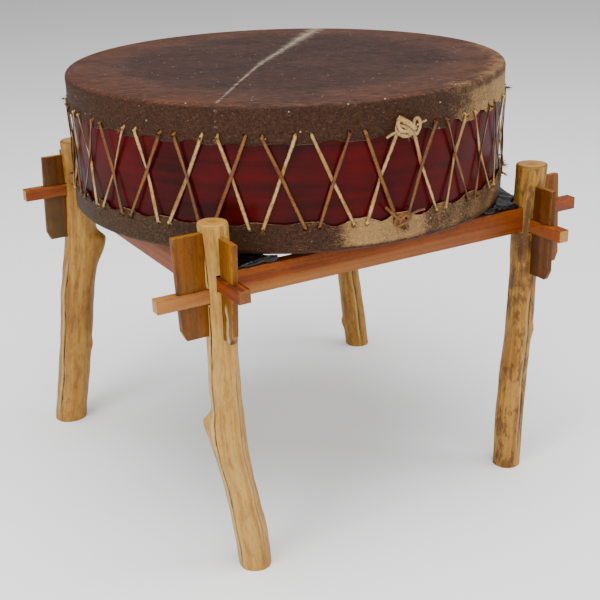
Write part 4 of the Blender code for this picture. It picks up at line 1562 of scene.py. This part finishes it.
@dataclass(frozen=True)
class Spot:
    """A place on the stand: a corner joint with an X axis turned to a heading."""

    corner: int
    heading: float

    def middle(self, height: float) -> Points:
        """The joint in the frame of the part, at a height."""
        x, y = CORNERS[self.corner]
        return np.array([STAND_CENTRE[0] + x * HALF_X, STAND_CENTRE[1] + y * HALF_Y, height])

    def turned(self, ways: Points, back: bool = False) -> Points:
        """Directions turned from the spot's axes to the part's, or back."""
        c, s = math.cos(self.heading), math.sin(self.heading) * (-1 if back else 1)
        return ways @ np.array([[c, s, 0], [-s, c, 0], [0, 0, 1]])

    def world(self, places: Points, height: float = RAIL_MID) -> Points:
        """Places given from the joint, in the frame of the part."""
        return self.turned(places) + self.middle(height)


@dataclass(frozen=True)
class Stub:
    """A cut branch or a knot that swells one side of a log."""

    height: float
    direction: float
    size: float
    above: float
    below: float


@dataclass(frozen=True)
class Crack:
    """A drying crack down a log: its direction at top and foot in degrees, and its ends as shares."""

    top: float
    foot: float
    high: float
    low: float
    width: float = CRACK_WIDTH
    depth: float = 0.0035


@dataclass(frozen=True)
class Log:
    """A leg: its bends are (share of length, x, y, diameter), x and y from its corner joint."""

    node: str
    length: float
    bends: tuple
    seat: tuple
    stubs: tuple
    cracks: tuple
    finish: LogFinish
    sides: int = 72
    ring_step: float = 0.0035
    ease: float = 0.0025
    cap_rings: tuple = (0.4, 0.7)

    def between(self, share: Points | float, column: int) -> Points:
        """A smooth curve through the bends.

        Args:
            share: Shares of the length.
            column: Which number of the bends it goes through.

        Returns:
            Its value at each share.
        """
        bends = np.array(self.bends)
        last = len(bends) - 1
        share = np.atleast_1d(share)
        index = np.clip(np.searchsorted(bends[:, 0], share, side="right") - 1, 0, last - 1)
        start, end = bends[index], bends[index + 1]
        before, after = bends[np.maximum(index - 1, 0)], bends[np.minimum(index + 2, last)]
        step = end[:, 0] - start[:, 0]
        into = (end[:, column] - before[:, column]) / (end[:, 0] - before[:, 0]) * step
        onto = (after[:, column] - start[:, column]) / (after[:, 0] - start[:, 0]) * step
        t = (share - start[:, 0]) / step
        return ((2 * t ** 3 - 3 * t ** 2 + 1) * start[:, column] + (t ** 3 - 2 * t ** 2 + t) * into
                + (3 * t ** 2 - 2 * t ** 3) * end[:, column] + (t ** 3 - t ** 2) * onto)

    def middle(self, height: Points) -> Points:
        """The log's middle at heights, from its corner joint.

        Args:
            height: Heights.

        Returns:
            X and Y at each height.
        """
        share = np.clip(height / self.length, 0, 1)
        return np.stack([self.between(share, a + 1) - self.between(RAIL_MID / self.length, a + 1)[0]
                         + self.seat[a] for a in (0, 1)], axis=1)

    def radius(self, height: Points, angle: Points) -> Points:
        """The log's radius, stubs included.

        Args:
            height: Heights.
            angle: A direction for each height.

        Returns:
            One radius for each.
        """
        share = np.clip(height / self.length, 0, 1)
        radius = self.between(share.ravel(), 3).reshape(share.shape) / 2
        for stub in self.stubs:
            rise = height - stub.height * self.length
            fade = np.where(rise > 0, stub.above, stub.below)
            turn = turned_by(angle - math.radians(stub.direction))
            radius = radius + stub.size * np.exp(-(rise / fade) ** 2 - (turn / math.radians(34)) ** 2)
        return radius

    def reach(self, height: float, heading: float) -> float:
        """How far the log reaches from its joint.

        Args:
            height: At what height.
            heading: In which direction.

        Returns:
            The distance.
        """
        x, y = self.middle(np.array([height]))[0]
        turns = np.radians(np.arange(-40, 41, 10))
        radii = self.radius(np.full(len(turns), height), heading + turns)
        return x * math.cos(heading) + y * math.sin(heading) + float((radii * np.cos(turns)).max())

    def surface(self, height: Points, angle: Points, index: int) -> tuple[Points, dict]:
        """The log's face with its bumps and cracks.

        Args:
            height: The height of each point of a grid.
            angle: Their directions.
            index: The log's number, which picks its bumps.

        Returns:
            The radius of each point, and what its material needs to know there.
        """
        radius, share = self.radius(height, angle), height / self.length
        local = polar(0.02, angle, height * 0.35).reshape(-1, 3)
        bumps = unevenness(local, 0.022, 60 + index) * 0.0005
        ridges = unevenness(local * np.array([1, 1, 0.15]), 0.006, 70 + index) * 0.00016
        marks = {"dark": np.zeros_like(radius)}
        dents = np.zeros_like(radius)
        for number, crack in enumerate(self.cracks):
            wander = np.sin(height * 55 + index) * 2.0 + np.sin(height * 17) * 3.0
            heading = np.radians(crack.foot + (crack.top - crack.foot) * share + wander)
            away = np.abs(turned_by(angle - heading)) * radius
            here = window(share, crack.low - 0.03, crack.low + 0.03, crack.high - 0.03, crack.high + 0.01)
            dents += crack.depth * np.exp(-(away / (crack.width * 1.2)) ** 2) * here
            marks[f"crack_{number}"] = heading
            marks[f"open_{number}"] = here * crack.width / CRACK_WIDTH
        for stub in self.stubs:
            turn = turned_by(angle - math.radians(stub.direction))
            rise = height - stub.height * self.length + stub.below * 0.1
            marks["dark"] = np.maximum(marks["dark"], np.exp(-(rise / 0.008) ** 2 - (turn / 0.32) ** 2) * 0.45)
        uneven = np.minimum((bumps + ridges).reshape(height.shape), 0.0006)
        return radius + uneven - dents, marks

    def build(self, index: int) -> Piece:
        """The log with its cracks, knots and sawn ends, before its mortises are cut.

        Args:
            index: The log's number.

        Returns:
            The piece.
        """
        slight = self.ease * 0.35
        heights = np.array([0.0, *np.linspace(0.0006, self.length - self.ease, int(self.length / self.ring_step))[1:],
                            self.length - slight, self.length])
        height, angle = np.meshgrid(heights, np.linspace(0, TURN, self.sides, endpoint=False), indexing="ij")
        radius, marks = self.surface(height, angle, index)
        radius[-2:] -= np.array([[slight], [self.ease]])
        marks["end"] = np.zeros_like(radius)
        marks["end"][-2:] = 1.0
        shares = np.array(self.cap_rings)[:, None]
        radius = np.vstack([radius[0] * shares, radius, radius[-1] * shares[::-1]])
        caps = len(shares)
        heights = np.pad(heights, caps, "edge")
        angle = np.broadcast_to(angle[0], radius.shape)
        middle = np.pad(self.middle(heights), ((0, 0), (0, 1)))
        net = Net()
        rows = net.put(Spot(index, 0.0).world(polar(radius, angle, heights[:, None]) + middle[:, None, :], 0.0))
        for lower, upper in zip(rows, rows[1:]):
            net.faces += band(lower, upper)
        net.faces += [tuple(rows[0][::-1]), tuple(rows[-1])]
        piece = net.piece(f"{self.node}_wood", self.finish, 50.0)
        for name, values in marks.items():
            filling = 1.0 if name == "end" else 0.0
            keep(piece, name, np.pad(values, ((caps, caps), (0, 0)), constant_values=filling).ravel())
        keep(piece, "straight", polar(radius, angle, heights[:, None] + index).reshape(-1, 3))
        return piece


@dataclass(frozen=True)
class Wedge:
    """A flat wedge through a tenon: widths at its top and bottom and the tenon's end past it."""

    top_width: float
    bottom_width: float
    length: float
    top: float
    past: float
    weather: float = 0.0
    look: WedgeLook = WedgeLook.PLAIN

    def width(self, height: float) -> float:
        """The width at a height above the middle of the rail."""
        return self.top_width + (self.bottom_width - self.top_width) * (self.top - height) / self.length

    def outline(self, inner: float, grow: float) -> tuple:
        """The outline, X outwards from the joint and Z from the middle of the rail.

        Args:
            inner: X of the edge by the log.
            grow: How much larger it is drawn.

        Returns:
            The corners.
        """
        top, bottom = self.top + grow, self.top - self.length - grow
        corner = bottom + WEDGE_CORNER * 1.5
        return ((inner - grow, bottom), (inner + self.width(bottom) - WEDGE_CORNER * 0.7 + grow, bottom),
                (inner + self.width(corner) + grow, corner), (inner + self.width(top) + grow, top),
                (inner - grow, top))


LOGS = (
    Log("leg_front", 0.557,
        ((0.0, 0.029, -0.0215, 0.0490), (0.11, 0.024, -0.0185, 0.0515), (0.235, 0.015, -0.0115, 0.0480),
         (0.36, 0.006, -0.0055, 0.0490), (0.57, 0.002, -0.0015, 0.0468), (0.79, 0.002, 0.0005, 0.0446),
         (1.0, -0.002, 0.0035, 0.0435)),
        (0.002, 0.0005), (Stub(0.445, 150.0, 0.0135, 0.012, 0.045),),
        (Crack(-160.0, -172.0, 0.99, 0.02, depth=0.0022), Crack(-62.0, -70.0, 0.6, 0.1, 0.0006, 0.001)),
        PALE_LOG),
    Log("leg_right", 0.551,
        ((0.0, -0.011, 0.0105, 0.0485), (0.25, -0.008, 0.0095, 0.0480), (0.47, -0.002, 0.0055, 0.0470),
         (0.63, 0.0, 0.0045, 0.0460), (0.82, 0.0, 0.0042, 0.0448), (1.0, 0.005, 0.0015, 0.0515)),
        (0.0, 0.0042), (Stub(0.47, -30.0, 0.0030, 0.010, 0.014),),
        (Crack(-88.0, -82.0, 0.62, 0.08, 0.0009, 0.002), Crack(150.0, 140.0, 0.5, 0.1)), STAINED_LOG),
    Log("leg_back", 0.556,
        ((0.0, 0.055, 0.0265, 0.0490), (0.19, 0.039, 0.0225, 0.0490), (0.32, 0.029, 0.0205, 0.0460),
         (0.575, 0.012, 0.009, 0.0465), (0.83, 0.0, 0.0, 0.0470), (1.0, -0.003, -0.002, 0.0485)),
        (0.0, 0.0), (Stub(0.10, 150.0, 0.0040, 0.010, 0.014),),
        (Crack(60.0, 75.0, 0.97, 0.3), Crack(-100.0, -96.0, 0.5, 0.04, 0.0009, 0.002)), HONEY_LOG),
    Log("leg_left", 0.560,
        ((0.0, -0.045, 0.0385, 0.0600), (0.19, -0.031, 0.0275, 0.0610), (0.36, -0.020, 0.0185, 0.0620),
         (0.48, -0.013, 0.0135, 0.0640), (0.66, -0.001, 0.0036, 0.0575), (0.85, 0.004, -0.002, 0.0530),
         (1.0, 0.005, -0.0035, 0.0540)),
        (0.0036, -0.0015),
        (Stub(0.665, -30.0, 0.0190, 0.012, 0.045), Stub(0.28, -30.0, 0.003, 0.01, 0.012)),
        (Crack(-150.0, -158.0, 0.6, 0.03), Crack(70.0, 85.0, 0.96, 0.2)), HONEY_LOG))

# Each rail with the wedges at its start and end
RAILS = (
    ("rail_front", TenonLook.PALE, Wedge(0.0484, 0.0414, 0.155, 0.0835, 0.034),
     Wedge(0.0370, 0.0475, 0.153, 0.0660, 0.0315)),
    ("rail_right", TenonLook.PLAIN, Wedge(0.0420, 0.0420, 0.151, 0.0570, 0.029, look=WedgeLook.DARK),
     Wedge(0.0440, 0.0380, 0.152, 0.0700, 0.030)),
    ("rail_back", TenonLook.PLAIN, Wedge(0.0430, 0.0390, 0.153, 0.0720, 0.031),
     Wedge(0.0370, 0.0430, 0.153, 0.0740, 0.0355, 0.9, WedgeLook.DARK)),
    ("rail_left", TenonLook.RED, Wedge(0.0410, 0.0400, 0.152, 0.0680, 0.030),
     Wedge(0.0405, 0.0300, 0.1525, 0.0775, 0.030, look=WedgeLook.SAPWOOD)))


def extruded(name: str, outline: Sequence, thickness: float, spot: Spot, bevel: float = 0.0) -> Piece:
    """A board from its outline, with rounded edges, placed on the stand.

    Args:
        name: The object's name.
        outline: Corners in X and Z.
        thickness: Size along Y, half to each side.
        spot: Where it goes.
        bevel: Radius of the edges.

    Returns:
        The object, with no material.
    """
    shape = bmesh.new()
    side = shape.faces.new([shape.verts.new((x, -thickness / 2, z)) for x, z in outline])
    made = bmesh.ops.extrude_face_region(shape, geom=[side])
    moved = [v for v in made["geom"] if isinstance(v, bmesh.types.BMVert)]
    bmesh.ops.translate(shape, verts=moved, vec=(0, thickness, 0))
    bmesh.ops.recalc_face_normals(shape, faces=shape.faces)
    if bevel:
        bmesh.ops.bevel(shape, geom=shape.edges[:], offset=bevel, segments=2, profile=0.5, affect="EDGES",
                        clamp_overlap=True)
    piece = from_shape(name, shape)
    move_points(piece, spot.world(read(piece)))
    return piece


def cut_with(piece: Piece, cutters: Sequence[Piece]) -> None:
    """Cut solids out of a piece and drop them.

    Args:
        piece: The piece.
        cutters: The solids.
    """
    for cutter in cutters:
        step = piece.modifiers.new(cutter.name, "BOOLEAN")
        step.operation, step.solver, step.object = "DIFFERENCE", "MANIFOLD", cutter
    bake_modifiers(piece)
    for cutter in cutters:
        bpy.data.objects.remove(cutter)


@dataclass
class Stand:
    """Four logs, four rails through them, eight wedges and four straps."""

    mortise_room: float = 0.0024
    rail_bevel: float = 0.0012
    wedge_bevel: float = 0.0009
    strap_cell: float = 0.0022

    def build(self) -> None:
        """Build every piece of the stand and hand it over."""
        cutters: list[list[Piece]] = [[], [], [], []]
        for index, (name, tenon_look, first, last) in enumerate(RAILS):
            heading, following = index * math.pi / 2, (index + 1) % 4
            slots, tenons = [], []
            for corner, wedge, out, lower in ((index, first, heading + math.pi, True),
                                              (following, last, heading, False)):
                part = f"{name}_{'start' if lower else 'end'}"
                inner = LOGS[corner].reach(RAIL_MID, out) - WEDGE_SEAT
                tenons.append(inner + wedge.width(0.0) + wedge.past)
                cutters[corner].append(self.mortise(part, corner, out, tenons[-1], lower))
                slot = extruded(f"slot_{part}", wedge.outline(inner, TOUCH_GAP), WEDGE_THICKNESS + 2 * TOUCH_GAP,
                                Spot(corner, out))
                slots.append(slot)
                cutters[corner].append(link(slot.name, slot.data.copy()))
                self.wedge(part.replace("rail", "wedge"), wedge, inner, Spot(corner, out))
            self.rail(name, index, tenon_look, tenons, slots)
        for index, timber in enumerate(LOGS):
            piece = timber.build(index)
            cut_with(piece, cutters[index])
            hand_over(piece, timber.node)
            self.strap(index)

    def mortise(self, name: str, corner: int, out: float, tenon: float, lower: bool) -> Piece:
        """The hole that a rail's housing and tenon need in a log.

        Args:
            name: What the hole is for.
            corner: Which log.
            out: The direction that the tenon points in.
            tenon: How far it reaches.
            lower: Whether it is the lower of the two in this log.

        Returns:
            The solid to cut out.
        """
        shoulder = LOGS[corner].reach(RAIL_MID, out + math.pi) - HOUSING
        reach, edge = max(shoulder + HOUSING, tenon) + 0.05, shoulder - TOUCH_GAP
        side = 1 if lower else -1
        near, far = -side * (RAIL_HEIGHT / 2 + TOUCH_GAP), side * (RAIL_HEIGHT / 2 + TOUCH_GAP)
        start = near - side * self.mortise_room
        end = near + side * (TENON_HEIGHT + self.mortise_room)
        outline = ((-reach, start), (edge, start), (edge, near), (reach, near), (reach, far), (edge, far),
                   (edge, end), (-reach, end))
        return extruded(f"mortise_{name}", outline, RAIL_THICKNESS + 2 * TOUCH_GAP, Spot(corner, out + math.pi))

    def rail(self, name: str, index: int, look: TenonLook, tenons: Sequence[float], slots: Sequence[Piece]
             ) -> None:
        """One rail with its two tenons and the slots for its wedges.

        Args:
            name: The rail's node.
            index: Its number, which is also that of the log at its start.
            look: How its tenons differ.
            tenons: How far they reach past the joints.
            slots: The solids to cut out.
        """
        heading = index * math.pi / 2
        length = 2 * (HALF_X if index % 2 == 0 else HALF_Y)
        starts = LOGS[index].reach(RAIL_MID, heading) - HOUSING
        ends = length - LOGS[(index + 1) % 4].reach(RAIL_MID, heading + math.pi) + HOUSING
        low, high = -RAIL_HEIGHT / 2, RAIL_HEIGHT / 2
        first, last = -tenons[0], length + tenons[1]
        outline = ((first, low), (ends, low), (ends, high - TENON_HEIGHT), (last, high - TENON_HEIGHT),
                   (last, high), (starts, high), (starts, low + TENON_HEIGHT), (first, low + TENON_HEIGHT))
        spot = Spot(index, heading)
        piece = extruded(f"{name}_board", outline, RAIL_THICKNESS, spot, self.rail_bevel)
        piece.data.materials.append(RAIL_FINISH.material())
        cut_with(piece, slots)
        self.grain(piece, spot, 0, (first, last), index, look=look)
        hand_over(piece, name)

    def wedge(self, name: str, wedge: Wedge, inner: float, spot: Spot) -> None:
        """One wedge.

        Args:
            name: The wedge's node.
            wedge: Its sizes and wood.
            inner: X of its edge by the log.
            spot: Where it stands.
        """
        piece = extruded(f"{name}_board", wedge.outline(inner, 0.0), WEDGE_THICKNESS, spot, self.wedge_bevel)
        piece.data.materials.append(wedge.look.value.material())
        self.grain(piece, spot, 2, (wedge.top - wedge.length, wedge.top), spot.corner * 3, wedge.weather)
        hand_over(piece, name)

    @staticmethod
    def grain(piece: Piece, spot: Spot, axis: int, ends: tuple[float, float], seed: int, weather: float = 0.0,
              look: TenonLook = TenonLook.PLAIN) -> None:
        """Keep a board's grain, ends, edges and weathering on its mesh.

        Args:
            piece: The board.
            spot: Where its local axes are.
            axis: Which local axis the grain follows.
            ends: The board's two ends along that axis.
            seed: Keeps one board's grain apart from the next.
            weather: How grey its lower half is.
            look: How its tenons differ.
        """
        local = spot.turned(read(piece) - spot.middle(RAIL_MID), back=True)
        along, height = local[:, axis], local[:, 2]
        across = np.delete(local, axis, axis=1)
        keep(piece, "grain", np.stack([across[:, 0] + seed * 0.37, across[:, 1], along + seed], axis=1))
        sawn = np.minimum(np.abs(along - ends[0]), np.abs(along - ends[1])) < 0.00005
        red = look is TenonLook.RED
        keep(piece, "end", sawn * np.where(red & (along > 0), 0.25, 1.0))
        ways = np.sort(np.abs(spot.turned(read(piece, "normal"), back=True)), axis=1)
        keep(piece, "edge", smooth(ways[:, 1], 0.15, 0.6))
        keep(piece, "pale", smooth(-along, 0.022, 0.03) * (look is TenonLook.PALE))
        keep(piece, "weather", smooth(along, ends[1] - 0.095, ends[1] - 0.075) if red
             else smooth(-height, -0.01, 0.03) * weather)
        piece.data.shade_smooth()
        piece.data.set_sharp_from_angle(angle=math.radians(38))

    @staticmethod
    def strap_plan(index: int) -> tuple[list[tuple[float, float]], float, float]:
        """A strap's outline across a corner of the rails, X and Y inwards from the joint.

        Args:
            index: The corner.

        Returns:
            The outline, and how far along X plus Y it starts to rise and is at its full thickness.
        """
        timber, (x, y) = LOGS[index], CORNERS[index]
        height, end = RAIL_TOP + STRAP / 2, RAIL_THICKNESS / 2 - 0.001
        near_x = timber.reach(height, math.pi if x > 0 else 0.0) + STRAP_FROM_LOG
        near_y = timber.reach(height, -y * math.pi / 2) + STRAP_FROM_LOG
        hollow = []
        for turn in (22.5, 0.0, -22.5):
            reach = timber.reach(height, math.atan2(-y, -x) + x * y * math.radians(turn)) + STRAP_FROM_LOG
            slant = math.radians(45 + turn)
            hollow.append((reach * math.cos(slant), reach * math.sin(slant)))
        to_middle = (HALF_X - x * (DRUM_CENTRE[0] - STAND_CENTRE[0]) + HALF_Y
                     - y * (DRUM_CENTRE[1] - STAND_CENTRE[1])) / math.sqrt(2)
        rim, far = [(to_middle - DRUM_RADIUS + HIDE_SHOULDER + seat) * math.sqrt(2) for seat in (0, STRAP_SEAT)]
        plan = [(near_x, -end), (rim + end, -end), (far + end, -end), (-end, far + end), (-end, rim + end),
                (-end, near_y), *hollow]
        return plan, min(near_x, near_y) - end, rim

    def strap(self, index: int) -> None:
        """One strap, creased, across a corner of the rails.

        Args:
            index: The corner.
        """
        plan, start, rim = self.strap_plan(index)
        x, y = CORNERS[index]
        middle = Spot(index, 0.0).middle(RAIL_TOP + TOUCH_GAP)
        shape = bmesh.new()
        low, high = [], []
        for along, across in plan:
            rise = STRAP_EDGE + (STRAP - STRAP_EDGE) * min((along + across - start) / (rim - start), 1.0)
            for ring, top in ((low, 0.0), (high, rise)):
                ring.append(shape.verts.new(middle + np.array([-x * along, -y * across, top])))
        shape.faces.new(low)
        for corners in ((1, 2, 3, 4), (8, 0, 1), (8, 1, 7), (7, 1, 4), (7, 4, 6), (6, 4, 5)):
            shape.faces.new([high[i] for i in corners])
        for face in band(low, high):
            shape.faces.new(face)
        name = f"strap_{CORNER_NAMES[index]}"
        piece = from_shape(f"{name}_band", shape)
        even = piece.modifiers.new("even", "REMESH")
        even.mode, even.voxel_size = "VOXEL", self.strap_cell
        piece.modifiers.new("soften", "SMOOTH").iterations = 3
        bake_modifiers(piece)
        places = read(piece)
        folds = unevenness(places * np.array([1, 1, 0.4]), 0.022, 90 + index) * 0.0011
        fine = unevenness(places, 0.008, 95 + index) * 0.0003
        places += read(piece, "normal") * (folds + fine - 0.0006)[:, None]
        places[:, 2] = np.clip(places[:, 2], RAIL_TOP + TOUCH_GAP + 0.0002, RAIL_TOP + STRAP + TOUCH_GAP)
        move_points(piece, places)
        piece.data.materials.clear()
        piece.data.materials.append(StrapFinish("black_rubber").material())
        piece.data.shade_smooth()
        hand_over(piece, name)


# The studio


@dataclass(frozen=True)
class Studio:
    """Pale floor, soft lights and a camera where the photographer's stood."""

    eye: tuple = (-0.9231, -1.6435, 1.0288)
    azimuth: float = math.radians(-29.67)
    pitch: float = math.radians(21.62)
    roll: float = math.radians(-1.53)
    lens: float = 67.52
    shift: tuple = (0.0035, -0.0007)
    middle: tuple = (0.0, 0.0, 0.45)
    floor_half: float = 20.0
    sky: float = 0.5
    softboxes: tuple = (("softbox_above", (-0.3, -0.6, 4.4), 4.0, 300), ("window_left", (-2.8, -1.0, 1.9), 1.6, 60),
                        ("front_fill", (-1.4, -3.4, 1.5), 1.6, 40), ("window_right", (2.5, -1.7, 1.5), 1.4, 35))

    def camera(self) -> None:
        """Make the scene's camera."""
        data = bpy.data.cameras.new("photographer")
        data.lens, data.sensor_width = self.lens, 36.0
        data.shift_x, data.shift_y = self.shift
        camera = link("photographer", data)
        turns = ((self.azimuth, "Z"), (math.pi / 2 - self.pitch, "X"), (self.roll, "Z"))
        camera.matrix_world = Matrix.Translation(Vector(self.eye))
        for turn, axis in turns:
            camera.matrix_world = camera.matrix_world @ Matrix.Rotation(turn, 4, axis)
        bpy.context.scene.camera = camera

    def build(self) -> None:
        """Set up the floor, the lights and the camera."""
        self.camera()
        mesh = bpy.data.meshes.new("floor")
        mesh.from_pydata([(x * self.floor_half, y * self.floor_half, 0) for x, y in CORNERS], [], [(0, 1, 2, 3)])
        mesh.materials.append(FloorFinish("pale_floor").material())
        link("floor", mesh)
        world = bpy.data.worlds.new("studio")
        world.use_nodes = True
        sky = world.node_tree.nodes["Background"].inputs
        sky["Color"].default_value, sky["Strength"].default_value = (1, 1, 1, 1), self.sky
        bpy.context.scene.world = world
        for name, place, size, power in self.softboxes:
            data = bpy.data.lights.new(name, "AREA")
            data.shape, data.size, data.energy = "SQUARE", size, power
            lamp = link(name, data)
            lamp.location = place
            lamp.rotation_mode = "QUATERNION"
            lamp.rotation_quaternion = (Vector(place) - Vector(self.middle)).to_track_quat("Z", "Y")


def main() -> None:
    """Build the studio, the drum and the stand in order."""
    logging.basicConfig(level=logging.INFO, format="%(message)s")
    Studio().build()
    hand_over(Shell().build(), "drum_shell")
    for skirt in (UPPER, LOWER):
        hand_over(Hide(skirt, HideFinish(f"{skirt.node}_short_hair")).build(), skirt.node)
    # Each thong's colours: its middle, its edges (painted shade along the borders, also used for dirt and tufts) and
    # its stains.
    light = ThongFinish("pale_rawhide", (204, 172, 126), (112, 76, 44), (150, 110, 66))
    dark = ThongFinish("brown_rawhide", (138, 90, 48), (66, 40, 22), (98, 60, 32))
    for lace in (Lace("lace_light", KNOT_PAIR, True, UPPER, light, TOP_TIES),
                 Lace("lace_dark", KNOT_PAIR + 1, False, LOWER, dark, BOTTOM_TIES)):
        hand_over(lace.build(), lace.node)
    Stand().build()


if __name__ == "__main__":
    main()
